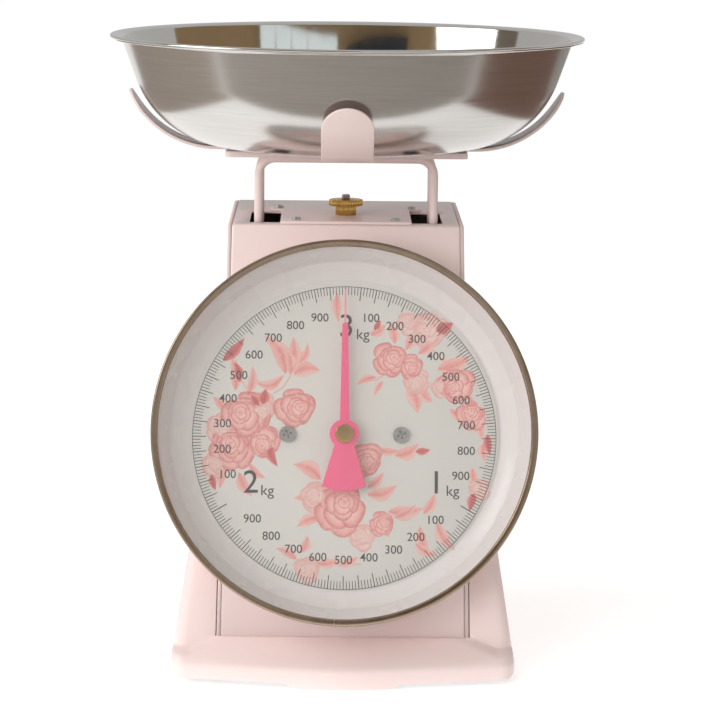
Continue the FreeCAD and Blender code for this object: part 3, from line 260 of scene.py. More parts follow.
def make_metal(name, colour, rough=(0.2, 0.35), grain=(1, 1, 1), grain_scale=400, grain_depth=0.08):
    """Bare metal with a grain that can be drawn out along an axis."""
    finish = Finish(name)
    lines = finish.noise(grain_scale, 4, 0.6, finish.stretched(grain))
    finish.set(Base_Color=finish.ramp(lines, [(0.25, shade(colour, 0.82)), (0.75, shade(colour, 1.06))]))
    finish.set(Roughness=finish.spread(lines, *rough), Metallic=1.0)
    finish.bump(lines, grain_depth, 0.0002)
    return finish.material


def make_brushed_bowl():
    """Stainless steel brushed round the bowl: fine lines that follow the rim."""
    finish = Finish("bowl_brushed_steel")
    split = finish.add("SeparateXYZ", {"Vector": finish.coords.outputs["Object"]}).outputs
    flat = finish.add("CombineXYZ", {"X": split["X"], "Y": split["Y"]})
    length = finish.add("VectorMath", {0: flat.outputs["Vector"]}, operation="LENGTH")
    drift = finish.add("Math", {0: split["X"], 1: 0.02}, operation="MULTIPLY")
    round_bowl = {"X": length.outputs["Value"], "Y": split["Z"], "Z": drift.outputs["Value"]}
    lines = finish.noise(1500, 4, 0.7, finish.add("CombineXYZ", round_bowl).outputs["Vector"])
    steel = srgb(205, 203, 200)
    finish.set(Base_Color=finish.ramp(lines, [(0.25, shade(steel, 0.86)), (0.75, shade(steel, 1.04))]))
    finish.set(Roughness=finish.spread(lines, 0.15, 0.24), Metallic=1.0, Anisotropic=0.3)
    finish.bump(lines, 0.03, 0.0002)
    tangent = finish.add("Tangent", direction_type="RADIAL", axis="Z")
    finish.set(Tangent=tangent.outputs["Tangent"])
    return finish.material


def make_polished_bowl():
    """The mirror-bright inside, with a few faint polishing swirls."""
    finish = Finish("bowl_polished_steel")
    steel = srgb(214, 212, 208)
    swirl = finish.noise(30, 5, 0.65)
    finish.set(Base_Color=finish.ramp(swirl, [(0.3, shade(steel, 0.95)), (0.7, steel)]))
    finish.set(Roughness=finish.spread(finish.noise(220, 3), 0.05, 0.10), Metallic=1.0)
    finish.bump(finish.noise(12, 2), 0.03, 0.002)
    return finish.material


def make_glass():
    """Thin clear pane in front of the dial."""
    finish = Finish("lens_clear")
    finish.set(Roughness=finish.spread(finish.noise(40, 3), 0.02, 0.06))
    finish.set(Base_Color=srgb(250, 252, 252), Alpha=0.05, IOR=1.45)
    return finish.material


def make_ink(name, colour):
    """Printing ink, a little uneven."""
    finish = Finish(name)
    patchy = finish.noise(900, 3, 0.7)
    finish.set(Base_Color=finish.ramp(patchy, [(0.3, colour), (0.8, shade(colour, 1.6))]))
    finish.set(Roughness=finish.spread(patchy, 0.4, 0.55))
    return finish.material


def make_flower_print(name, stops):
    """Watercolour petal or leaf: tone runs from base to edge, with drawn strokes along it."""
    finish = Finish(name)
    split = finish.add("SeparateXYZ", {"Vector": finish.coords.outputs["UV"]}).outputs
    strokes = finish.noise(1.0, 3, 0.7, finish.stretched((38, 2.6, 1), "UV"))
    wash = finish.noise(190, 4, 0.7)
    drawn = finish.add("Math", {0: strokes, 1: 0.5, 2: split["Y"]}, operation="MULTIPLY_ADD")
    blotted = finish.add("Math", {0: wash, 1: 0.30, 2: drawn.outputs["Value"]}, operation="MULTIPLY_ADD")
    tone = finish.spread(blotted.outputs["Value"], 0.0, 1.0, 0.32, 1.42)
    finish.set(Base_Color=finish.ramp(tone, [(place, srgb(*colour)) for place, colour in stops]))
    finish.set(Roughness=finish.spread(wash, 0.4, 0.5))
    return finish.material


# Each under the slot that it fills, or under a name of its own where only some pieces show it.
materials = {
    "pink_enamel": make_enamel("pink_enamel", srgb(238, 218, 215)),
    "drum_enamel": make_enamel("drum_enamel", srgb(238, 219, 216)),
    "white_enamel": make_enamel("white_enamel", srgb(222, 216, 214), (0.22, 0.32), 0.03),
    "dial_print": make_enamel("dial_card", srgb(214, 212, 206), (0.35, 0.5), 0.02),
    "pointer_paint": make_enamel("pointer_paint", srgb(238, 92, 136), (0.16, 0.24), 0.02),
    "pointer_tip": make_enamel("pointer_tip_paint", srgb(240, 150, 160), (0.3, 0.4), 0.02),
    "zinc_steel": make_metal("zinc_plate", srgb(196, 197, 196), (0.22, 0.38), (1, 1, 1), 300, 0.05),
    "spring_steel": make_metal("spring_wire", srgb(120, 119, 118), (0.3, 0.45)),
    "brass": make_metal("turned_brass", srgb(203, 165, 92), (0.16, 0.30), (1, 1, 14), 160, 0.05),
    # The bezel's chrome is tinted brown and darkened: a painted reflection of a brown room, laid into the
    # metal's colour.
    "bezel_chrome": make_metal("bezel_chrome", srgb(172, 154, 136), (0.16, 0.3), (1, 1, 1), 90, 0.02),
    "bowl_steel": make_brushed_bowl(),
    "polished": make_polished_bowl(),
    "lens_glass": make_glass(),
    "foot_rubber": make_enamel("foot_rubber", srgb(52, 50, 50), (0.6, 0.8), 0.2),
    "ink": make_ink("dial_ink", srgb(54, 52, 52)),
    "petal": make_flower_print("petal_print", [
        (0.0, (206, 112, 110)), (0.2, (228, 158, 152)), (0.5, (238, 200, 192)),
        (0.78, (232, 176, 169)), (1.0, (208, 122, 120))]),
    "petal_pale": make_flower_print("pale_petal_print", [
        (0.0, (222, 148, 142)), (0.35, (236, 196, 187)), (0.7, (228, 204, 196)),
        (1.0, (222, 160, 154))]),
    "leaf": make_flower_print("leaf_print", [
        (0.0, (214, 128, 124)), (0.3, (230, 168, 160)), (0.7, (232, 192, 183)),
        (1.0, (216, 142, 136))]),
    "leaf_dark": make_flower_print("dark_leaf_print", [
        (0.0, (176, 76, 78)), (0.4, (206, 112, 108)), (0.8, (222, 146, 140)),
        (1.0, (196, 96, 96))]),
}


# ---- Mesh helpers

def linked(name, data):
    thing = bpy.data.objects.new(name, data)
    bpy.context.collection.objects.link(thing)
    return thing


def object_of(name, bm):
    mesh = bpy.data.meshes.new(name)
    bm.to_mesh(mesh)
    bm.free()
    return linked(name, mesh)


def bmesh_of(thing):
    """The final shape of an object, with its modifiers or of its text, as a new bmesh."""
    bpy.context.view_layer.update()
    final = thing.evaluated_get(bpy.context.evaluated_depsgraph_get())
    bm = bmesh.new()
    bm.from_mesh(final.to_mesh())
    final.to_mesh_clear()
    return bm


def add_piece(name, bm, body, slot, sharp=35.0, looks=(), matrix=Matrix.Identity(4), closed=True):
    """Makes a finished object of a bmesh drawn in millimetres, set in place by a matrix in metres.

    It replaces the node of its own name, if there is one. Its material is its slot's, or the looks given.
    """
    bmesh.ops.remove_doubles(bm, verts=bm.verts, dist=0.0005)
    if closed:
        fix_normals(bm)
    bmesh.ops.transform(bm, matrix=matrix @ Matrix.Scale(MM, 4), verts=bm.verts)
    piece = object_of(name, bm)
    for look in looks or [slot]:
        piece.data.materials.append(materials[look])
    piece.data.shade_smooth()
    piece.data.set_sharp_from_angle(angle=math.radians(sharp))
    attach(piece, body)
    if name in frame["nodes"]:
        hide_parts(name)
    return piece


def fix_normals(bm):
    """Turns every face of a closed body outwards."""
    bmesh.ops.recalc_face_normals(bm, faces=bm.faces)


def turn_about_z(bm, verts, angle):
    bmesh.ops.rotate(bm, verts=verts, cent=(0, 0, 0), matrix=Matrix.Rotation(angle, 3, "Z"))


def arc(centre_x, centre_y, radius, start, end, steps):
    """Points of an arc, angles in degrees."""
    points = []
    for step in range(steps + 1):
        angle = math.radians(start + (end - start) * step / steps)
        points.append((centre_x + radius * math.cos(angle), centre_y + radius * math.sin(angle)))
    return points


def spun(profile, steps=96, turn=360.0):
    """Turns a closed outline of (radius, height) points about Z. Less than 360 degrees leaves open ends."""
    bm = bmesh.new()
    verts = [bm.verts.new((radius, 0, height)) for radius, height in profile]
    edges = [bm.edges.new(pair) for pair in zip(verts, verts[1:] + verts[:1])]
    bmesh.ops.spin(bm, geom=verts + edges, cent=(0, 0, 0), axis=(0, 0, 1), angle=math.radians(turn),
                   steps=steps, use_merge=turn == 360.0)
    bmesh.ops.remove_doubles(bm, verts=bm.verts, dist=0.0005)
    return bm


def prism(points, low, high):
    """An upright block with an outline of (x, y) points."""
    bm = bmesh.new()
    face = bm.faces.new([bm.verts.new((x, y, low)) for x, y in points])
    grown = bmesh.ops.extrude_face_region(bm, geom=[face])
    top = [item for item in grown["geom"] if isinstance(item, bmesh.types.BMVert)]
    bmesh.ops.translate(bm, verts=top, vec=(0, 0, high - low))
    fix_normals(bm)
    return bm


def skinned(rings):
    """A closed body through rings of the same number of points."""
    bm = bmesh.new()
    rows = [[bm.verts.new(point) for point in ring] for ring in rings]
    for low_row, high_row in zip(rows, rows[1:]):
        for index in range(len(low_row)):
            before = index - 1
            bm.faces.new([low_row[before], low_row[index], high_row[index], high_row[before]])
    bm.faces.new(rows[0])
    bm.faces.new(rows[-1])
    fix_normals(bm)
    return bm


def join(target, source):
    """Adds one bmesh to another."""
    mesh = bpy.data.meshes.new("joined")
    source.to_mesh(mesh)
    target.from_mesh(mesh)
    source.free()
    bpy.data.meshes.remove(mesh)
    return target


def bevel(bm, edges, width, segments=3):
    bmesh.ops.bevel(bm, geom=edges, offset=width, offset_type="OFFSET", segments=segments, profile=0.5,
                    affect="EDGES", material=-1, clamp_overlap=True)


def upright_edges(bm):
    return [edge for edge in bm.edges if abs(edge.verts[0].co.z - edge.verts[1].co.z) > 1]


def sharp_edges(bm, least):
    return [edge for edge in bm.edges if len(edge.link_faces) == 2
            and edge.calc_face_angle() > math.radians(least)]


def cut_away(base, tools):
    """The base bmesh less the tools, as a new bmesh."""
    body = object_of("cut_body", base)
    cutters = [object_of("cutter", tool) for tool in tools]
    for cutter in cutters:
        step = body.modifiers.new("cut", "BOOLEAN")
        step.operation = "DIFFERENCE"
        step.solver = "EXACT"
        step.object = cutter
    result = bmesh_of(body)
    for thing in [body] + cutters:
        bpy.data.objects.remove(thing)
    bmesh.ops.remove_doubles(result, verts=result.verts, dist=0.001)
    return result


def rectangle(half_x, half_y):
    return [(-half_x, -half_y), (half_x, -half_y), (half_x, half_y), (-half_x, half_y)]


def panel_y(z):
    """Where the leaning front panel is at a height."""
    return CASING_FRONT - (CASING_TOP - z) * math.tan(math.radians(LEAN))


def rear_y(z):
    """Where the casing's back is at a height."""
    return CASING_REAR + (CASING_TOP - z) * math.tan(math.radians(REAR_LEAN))


def dial_matrix():
    """Places a drawing made with X right, Y up the dial and Z out of it, from the panel's face."""
    joint = joints["pointer_spin"]
    outward = -Vector(joint["axis"]).normalized()
    right = Vector((1, 0, 0))
    up = outward.cross(right)
    turn = Matrix((right, up, outward)).transposed().to_4x4()
    return Matrix.Translation(Vector(joint["pos_m"])) @ turn


DIAL = dial_matrix()


# ---- Bowl and carrier

def make_bowl():
    floor_z = BOWL_LOW.z / MM
    rim_z = BOWL_HIGH.z / MM
    rim = BOWL_HIGH.x / MM
    centre_z = floor_z + BOWL_CORNER_RADIUS
    bead = 1.1
    neck = rim - LIP_WIDTH
    neck_z = rim_z - LIP_DROP
    outer = [(0, floor_z)] + arc(BOWL_FLOOR_RADIUS, centre_z, BOWL_CORNER_RADIUS, -90, -BOWL_WALL_SLOPE, 28)
    outer += arc(neck + 2.2, neck_z - 0.9, 2.2, 165, 110, 4)
    outer += arc(rim - bead, rim_z - bead, bead, -80, 100, 10)
    inner = arc(neck + 0.2, neck_z + 1.3, 1.2, 112, 160, 4)
    inner_radius = BOWL_CORNER_RADIUS - BOWL_WALL
    inner += arc(BOWL_FLOOR_RADIUS, centre_z, inner_radius, -BOWL_WALL_SLOPE, -90, 28)
    inner.append((0, floor_z + BOWL_WALL))
    bm = spun(outer + inner, 160)
    fix_normals(bm)
    for face in bm.faces:
        middle = face.calc_center_median()
        inside = face.normal.dot(Vector((middle.x, middle.y, middle.z - centre_z * 1.2))) < 0
        face.material_index = 1 if inside or middle.z > rim_z - 2.2 * bead else 0
    add_piece("bowl", bm, "bowl", "bowl_steel", 50, ["bowl_steel", "polished"])


def make_arm(quarter):
    """A flat round-ended strip, eased along its edges and then bent up at the end."""
    length = ARM_FLAT + ARM_BEND_RADIUS * math.radians(ARM_BEND_ANGLE)
    half = ARM_WIDTH / 2
    outline = [(half - 1, -half)] + arc(length - half, 0, half, -90, 90, 28) + [(half - 1, half)]
    bm = prism(outline, 0, ARM_SHEET)
    bevel(bm, sharp_edges(bm, 50), 0.4, 3)
    cuts = 40
    for cut in range(cuts):
        x = ARM_FLAT + (length - ARM_FLAT) * cut / cuts
        bmesh.ops.bisect_plane(bm, geom=bm.verts[:] + bm.edges[:] + bm.faces[:], dist=0.0001,
                               plane_co=(x, 0, 0), plane_no=(1, 0, 0))
    low = ARMS_LOW.z / MM
    for vert in bm.verts:
        angle = max(0.0, vert.co.x - ARM_FLAT) / ARM_BEND_RADIUS
        radius = ARM_BEND_RADIUS - vert.co.z
        flat = min(vert.co.x, ARM_FLAT)
        vert.co = Vector((flat + radius * math.sin(angle), vert.co.y,
                          low + ARM_BEND_RADIUS - radius * math.cos(angle)))
    turn_about_z(bm, bm.verts, quarter * math.pi / 2)
    return bm


def make_carrier():
    low = ARMS_LOW.z / MM
    half = ARM_WIDTH / 2
    bm = bmesh.new()
    for quarter in range(4):
        join(bm, make_arm(quarter))
    join(bm, prism(rectangle(half + 1, half + 1), low + 0.02, low + ARM_SHEET - 0.02))
    add_piece("carrier_arms", bm, "load", "pink_enamel", 40)

    top = CHANNEL_HIGH.z / MM
    bottom = CHANNEL_LOW.z / MM
    tray = prism(rectangle(CHANNEL_HIGH.x / MM, CHANNEL_HIGH.y / MM), bottom, top)
    bevel(tray, upright_edges(tray), 3.0, 5)
    floor = min(tray.faces, key=lambda face: face.calc_center_median().z)
    bmesh.ops.inset_region(tray, faces=[floor], thickness=1.3)
    bmesh.ops.translate(tray, verts=floor.verts, vec=(0, 0, top - bottom - 1.4))
    bevel(tray, sharp_edges(tray, 40), 0.55, 3)
    add_piece("carrier_channel", tray, "load", "pink_enamel", 40)


def tube(points, radius, sides=20):
    """A round bar along a smooth run of points."""
    bm = bmesh.new()
    rings = []
    for index, point in enumerate(points):
        before = points[max(index - 1, 0)]
        after = points[min(index + 1, len(points) - 1)]
        turn = (after - before).normalized().to_track_quat("Z", "X").to_matrix().to_4x4()
        made = bmesh.ops.create_circle(bm, segments=sides, radius=radius,
                                       matrix=Matrix.Translation(point) @ turn)
        rings.append(made["verts"])
    for low_ring, high_ring in zip(rings, rings[1:]):
        edges = {edge for vert in low_ring + high_ring for edge in vert.link_edges
                 if set(edge.verts) <= set(low_ring) or set(edge.verts) <= set(high_ring)}
        bmesh.ops.bridge_loops(bm, edges=list(edges))
    bmesh.ops.holes_fill(bm, edges=bm.edges, sides=sides)
    fix_normals(bm)
    return bm


def make_yoke(name, y):
    foot = YOKE_LOW.z / MM
    top = YOKE_HIGH.z / MM - ROD_RADIUS
    bend = ROD_BEND_RADIUS
    corner_z = top - bend
    points = [Vector((-ROD_SPREAD, y, foot)), Vector((-ROD_SPREAD, y, corner_z - 0.5))]
    points += [Vector((x, y, z)) for x, z in arc(-ROD_SPREAD + bend, corner_z, bend, 180, 90, 12)]
    points += [Vector((x, y, z)) for x, z in arc(ROD_SPREAD - bend, corner_z, bend, 90, 0, 12)]
    points += [Vector((ROD_SPREAD, y, corner_z - 0.5)), Vector((ROD_SPREAD, y, foot))]
    add_piece(name, tube(points, ROD_RADIUS), "load", "pink_enamel", 50)


# ---- Casing and base

def tapered_block(halves, low, high, front_set=0.0, rear_set=0.0):
    """The casing's form: leaning front and back, sides that close in towards the top."""
    bm = bmesh.new()
    bmesh.ops.create_cube(bm, size=2.0)
    for vert in bm.verts:
        at_top = vert.co.z > 0
        z = high if at_top else low
        share = (z - CASING_BOTTOM) / (CASING_TOP - CASING_BOTTOM)
        half = halves[0] + (halves[1] - halves[0]) * share
        y = panel_y(z) + front_set if vert.co.y < 0 else rear_y(z) - rear_set
        vert.co = Vector((half * vert.co.x, y, z))
    return bm


def faces_towards(bm, direction, least=0.8):
    return [face for face in bm.faces if face.normal.dot(Vector(direction)) > least]


def add_sheet(name, bm, thickness):
    """An enamelled shell of the housing, from its outer face inwards."""
    piece = add_piece(name, bm, "housing", "pink_enamel", 30, closed=False)
    step = piece.modifiers.new("sheet", "SOLIDIFY")
    step.thickness = thickness * MM
    step.offset = -1.0
    step.use_even_offset = True
    step.use_quality_normals = True


def make_casing_front():
    bm = tapered_block(PANEL_HALF, CASING_BOTTOM, CASING_TOP, 0.0, 1.4)
    bm.normal_update()
    rear_and_bottom = faces_towards(bm, (0, 1, 0)) + faces_towards(bm, (0, 0, -1))
    bmesh.ops.delete(bm, geom=rear_and_bottom, context="FACES")
    bm.normal_update()
    bevel(bm, sharp_edges(bm, 40), 1.2, 4)
    bm.normal_update()
    top_faces = faces_towards(bm, (0, 0, 1), 0.99)
    cuts = [((x, 0, 0), (1, 0, 0)) for x in (-SLOT_OUTER, -SLOT_INNER, SLOT_INNER, SLOT_OUTER)]
    cuts += [((0, y, 0), (0, 1, 0)) for y in (-SLOT_HALF_LENGTH, SLOT_HALF_LENGTH)]
    for place, normal in cuts:
        region = list({item for face in top_faces for item in [face, *face.edges, *face.verts]})
        bmesh.ops.bisect_plane(bm, geom=region, dist=0.0001, plane_co=place, plane_no=normal)
        bm.normal_update()
        top_faces = faces_towards(bm, (0, 0, 1), 0.99)
    holes = []
    for face in top_faces:
        middle = face.calc_center_median()
        if SLOT_INNER < abs(middle.x) < SLOT_OUTER and abs(middle.y) < SLOT_HALF_LENGTH:
            holes.append(face)
    bmesh.ops.delete(bm, geom=holes, context="FACES")
    add_sheet("casing_front", bm, 1.0)


def make_rear_cover():
    bm = tapered_block(COVER_HALF, CASING_BOTTOM, CASING_TOP - 0.4, 0.6, 0.0)
    bm.normal_update()
    rear_edges = [edge for edge in upright_edges(bm) if all(vert.co.y > 0 for vert in edge.verts)]
    bevel(bm, rear_edges, 3.0, 6)
    bm.normal_update()
    open_faces = [face for way in ((0, -1, 0), (0, 0, 1), (0, 0, -1)) for face in faces_towards(bm, way)]
    bmesh.ops.delete(bm, geom=open_faces, context="FACES")
    add_sheet("rear_cover", bm, 1.7)


def wing_half(z):
    """Half the base's width: upright skirt, then the wings close in towards their tops."""
    top = COVER_HALF[1] + (COVER_HALF[0] - COVER_HALF[1]) * WING_TOP_SHARE + WING_LIP
    climb = max(0.0, (z - SKIRT_TOP) / (WING_TOP - SKIRT_TOP))
    return BASE_HALF + (top - BASE_HALF) * climb


def apron_share(z):
    """0 down the skirt and 1 at the casing's foot, eased over the skirt's top edge."""
    climb = (z - SKIRT_TOP) / (CASING_BOTTOM - SKIRT_TOP)
    return min(1.0, (math.hypot(climb, SKIRT_SOFTNESS) + climb) / 2)


def skirt_y(x):
    """The skirt's shallow point at the front, rounded in the middle."""
    run = math.hypot(BASE_HALF, TIP_SOFTNESS) - TIP_SOFTNESS
    back = (math.hypot(x, TIP_SOFTNESS) - TIP_SOFTNESS) / run
    return BASE_TIP_Y + (BASE_CORNER_Y - BASE_TIP_Y) * back


def front_y(x, z):
    """The base's front: the apron, blended into the wings along a line down to the skirt's corners."""
    wing = panel_y(z) + WING_SETBACK
    if z > CASING_BOTTOM:
        return wing
    share = apron_share(z)
    foot = panel_y(CASING_BOTTOM) - APRON_MARGIN
    apron = skirt_y(x) + (foot - skirt_y(x)) * share
    far_edge = BASE_HALF + HIP_WIDTH
    edge = far_edge + (COVER_HALF[0] - far_edge) * share
    blend = min(1.0, max(0.0, (edge - abs(x)) / HIP_WIDTH))
    blend = blend * blend * (3 - 2 * blend)
    return wing + (apron - wing) * blend


def base_section(z, inset=0.0):
    """Outline of the base at a height, from the middle of the front all the way round."""
    half = wing_half(z) - inset
    radius = max(WING_CORNER_RADIUS, BASE_CORNER_RADIUS - max(0.0, z - SKIRT_TOP) * 0.31) - inset
    flat = half - radius
    rear = rear_y(z) - WING_SETBACK
    if z <= CASING_BOTTOM:
        foot = rear_y(CASING_BOTTOM) + APRON_MARGIN
        rear = BASE_REAR_Y + (foot - BASE_REAR_Y) * apron_share(z)
    rear -= inset
    columns = [column / 48 for column in range(48)] + [1.0]
    right = [(flat * share, front_y(flat * share, z) + inset) for share in columns]
    corner = front_y(flat, z) + inset + radius
    right += arc(flat, corner, radius, -80, 0, 8)
    right += [(half, corner + step) for step in (3, 6, 9, 13, 30, 80)]
    right += arc(flat, rear - radius, radius, 0, 90, 8)
    left = [(-x, y) for x, y in reversed(right) if x > 0.001]
    return right + [(0, rear)] + left


def skirt_low(x, y):
    """Height of the skirt's lower edge: a tab in front and rounded-off front corners."""
    tab = min(1.0, max(0.0, (TAB_ROOT_HALF - abs(x)) / (TAB_ROOT_HALF - TAB_FOOT_HALF)))
    if y < 0 and tab > 0:
        return SKIRT_BOTTOM + (TAB_FOOT - SKIRT_BOTTOM) * tab
    beyond = max(0.0, abs(x) - BASE_HALF + LOW_CORNER_RADIUS)
    lift = LOW_CORNER_RADIUS - math.sqrt(max(0.0, LOW_CORNER_RADIUS ** 2 - beyond ** 2))
    fade = 1 - (y - BASE_CORNER_Y - BASE_CORNER_RADIUS) / 3
    return SKIRT_BOTTOM + lift * min(1.0, max(0.0, fade))


def wing_section(z, inset):
    """Outline of the right wing at a height, beside the casing."""
    share = (z - CASING_BOTTOM) / (CASING_TOP - CASING_BOTTOM)
    inner = COVER_HALF[0] + (COVER_HALF[1] - COVER_HALF[0]) * share + WING_GAP
    round_part = wing_half(z) - inset - WING_CORNER_RADIUS - 0.001
    outline = [(x, y) for x, y in base_section(z, inset) if x > round_part]
    front = panel_y(z) + WING_SETBACK + inset
    rear = rear_y(z) - WING_SETBACK - inset
    edge = WING_EDGE_ROUNDING
    near = edge * 0.3
    outline = [(inner, front + edge), (inner + near, front + near), (inner + edge, front)] + outline
    return outline + [(inner + edge, rear), (inner + near, rear - near), (inner, rear - edge)]


def make_wing(side):
    heights = [(CASING_BOTTOM + 0.01 + step, 0.0) for step in (0, 4, 8, 12, 20, 40, 60, 80)]
    for turn in range(0, 91, 15):
        angle = math.radians(turn)
        drop = WING_ROUNDING * (1 - math.sin(angle))
        heights.append((WING_TOP - drop, WING_ROUNDING * (1 - math.cos(angle))))
    rings = [[(x * side, y, z) for x, y in wing_section(z, inset)] for z, inset in heights]
    return skinned(rings)


def make_base():
    hem = base_section(SKIRT_BOTTOM)
    ceiling = SKIRT_TOP - 2.0
    rings = [[(x, y, ceiling) for x, y in base_section(SKIRT_BOTTOM, BASE_SHEET)]]
    for inset, lift in ((BASE_SHEET, 0.1), (BASE_SHEET - 0.3, 0.0), (0.3, 0.0), (0.0, 0.3)):
        section = base_section(SKIRT_BOTTOM, inset)
        rings.append([(x, y, skirt_low(*outer) + lift) for (x, y), outer in zip(section, hem)])
    levels = [ceiling + (CASING_BOTTOM - ceiling) * step / 18 for step in range(19)]
    rings += [[(x, y, z) for x, y in base_section(z)] for z in levels]
    shell = skinned(rings)
    for side in (-1, 1):
        join(shell, make_wing(side))
    add_piece("base_shell", shell, "housing", "pink_enamel", 32)

    outline = base_section(SKIRT_BOTTOM, BASE_SHEET + 2)
    plate = prism(outline, SKIRT_BOTTOM, SKIRT_BOTTOM + 1)
    add_piece("bottom_plate", plate, "housing", "zinc_steel", 40)


# ---- Top of the casing

def cross_screw(head_radius, height):
    """A pan head with a tapered cross sunk into it, standing on z = 0."""
    crown = arc(head_radius * 0.55, height * 0.45, head_radius * 0.45, 0, 90, 6)
    crown = [(radius, min(level, height)) for radius, level in crown]
    head = spun([(0, 0), (head_radius, 0)] + crown + [(0, height * 1.04)], 40)
    fix_normals(head)
    tools = []
    for angle in (0.35, 0.35 + math.pi / 2):
        tool = bmesh.new()
        bmesh.ops.create_cube(tool, size=2.0)
        for vert in tool.verts:
            taper, level = (1.0, 1.3) if vert.co.z > 0 else (0.55, 0.35)
            reach = head_radius * taper
            vert.co = Vector((vert.co.x * reach * 0.58, vert.co.y * reach * 0.13, height * level))
        turn_about_z(tool, tool.verts, angle)
        tools.append(tool)
    return cut_away(head, tools)


def screws_at(places, level, head_radius, height):
    screws = bmesh.new()
    for x, y in places:
        screw = cross_screw(head_radius, height)
        bmesh.ops.translate(screw, verts=screw.verts, vec=(x, y, level))
        join(screws, screw)
    return screws


def knurled(radius, low, high, count, depth, soften):
    """A disc whose rim is cut with upright grooves."""
    points = []
    for index in range(count * 2):
        angle = math.pi * index / count
        reach = radius if index % 2 else radius - depth
        points.append((reach * math.cos(angle), reach * math.sin(angle)))
    bm = prism(points, low, high)
    flats = [edge for edge in bm.edges if abs(edge.verts[0].co.z - edge.verts[1].co.z) < 0.01]
    bevel(bm, flats, soften, 2)
    return bm


def make_zero_adjuster():
    low = NUT_LOW.z / MM
    high = NUT_HIGH.z / MM
    flange = high - 3.2
    nut = knurled(NUT_HIGH.x / MM, flange, high - 0.25, 36, 0.45, 0.35)
    join(nut, knurled(5.1, low, flange + 0.3, 20, 0.35, 0.15))
    join(nut, spun([(0, high - 0.5), (4.4, high - 0.5), (4.2, high), (0, high)], 40))
    add_piece("zero_nut", nut, "zero_nut", "brass", 30)

    radius = STUD_HIGH.x / MM
    top = STUD_HIGH.z / MM
    bottom = STUD_LOW.z / MM
    profile = [(0, bottom), (radius, bottom)]
    z = bottom + THREAD_PITCH
    while z < top - THREAD_PITCH:
        profile += [(radius - THREAD_DEPTH, z), (radius, z + THREAD_PITCH * 0.5)]
        z += THREAD_PITCH
    profile += [(radius - 0.5, top), (0, top)]
    add_piece("zero_stud", spun(profile, 32), "adjuster", "zinc_steel", 30)


def bridge_screw_places():
    front = BRIDGE_LOW.y / MM + 6.5
    rear = BRIDGE_HIGH.y / MM - 6.5
    return [(-24.0, front), (24.0, front), (-33.0, rear), (33.0, rear)]


def make_bridge():
    low = BRIDGE_LOW.z / MM
    high = BRIDGE_HIGH.z / MM
    front = BRIDGE_LOW.y / MM
    rear = BRIDGE_HIGH.y / MM
    half_rear = BRIDGE_HIGH.x / MM
    half_front = half_rear - BRIDGE_FRONT_INSET
    right = [(half_front, front), (half_front, BRIDGE_STEP), (half_rear, BRIDGE_STEP + 3), (half_rear, rear)]
    outline = right + [(-x, y) for x, y in reversed(right)]
    bm = prism(outline, low, high)
    bevel(bm, sharp_edges(bm, 40), 0.5, 3)
    add_piece("bridge_plate", bm, "housing", "pink_enamel", 40)
    screws = screws_at(bridge_screw_places(), high, *BRIDGE_SCREW)
    add_piece("bridge_screws", screws, "housing", "zinc_steel")


# ---- Dial

def print_on_card(name, bm, look):
    """Flat printed shapes, drawn about the middle of the print."""
    face_outwards(bm)
    bmesh.ops.translate(bm, verts=bm.verts, vec=(*PRINT_CENTRE, 0))
    on_dial(name, bm, "housing", "dial_print", looks=[look], closed=False)


def on_dial(name, bm, body, slot, sharp=35.0, looks=(), closed=True):
    add_piece(name, bm, body, slot, sharp, looks, DIAL, closed)


def make_dial_case():
    wall = 0.8
    drum = [(DRUM_RADIUS - 1.2, 0)] + arc(DRUM_RADIUS - 1.2, 1.2, 1.2, -90, 0, 5)
    inner = DRUM_RADIUS - wall
    drum += [(DRUM_RADIUS, DRUM_DEPTH), (inner, DRUM_DEPTH), (inner, wall), (5, wall), (5, 0)]
    on_dial("dial_drum", spun(drum, 160), "housing", "drum_enamel", 40)

    floor = PLATE_LIFT - 0.5
    face = [(DISH_RIM, DRUM_DEPTH), (DISH_RIM - 0.6, DRUM_DEPTH - 1.2)]
    face += arc(DISH_STEP - 2.5, DISH_STEP_DEPTH + 2.6, 4.0, -8, -52, 6)
    face += arc(DISH_FLOOR + 1.0, floor + 3.0, 3.0, -62, -90, 5)
    face += [(5, floor)]
    back = [(5, floor - 0.6), (DISH_FLOOR, floor - 0.6), (DISH_STEP + 0.9, DISH_STEP_DEPTH - 0.2),
            (DISH_RIM + 0.3, DRUM_DEPTH - 0.6)]
    on_dial("dial_dish", spun(face + back, 160), "housing", "white_enamel", 60)

    card = spun([(4, floor), (PLATE_RADIUS, floor), (PLATE_RADIUS, PLATE_LIFT - 0.1),
                 (PLATE_RADIUS - 0.2, PLATE_LIFT), (4, PLATE_LIFT)], 160)
    on_dial("dial_plate", card, "housing", "dial_print", 40)


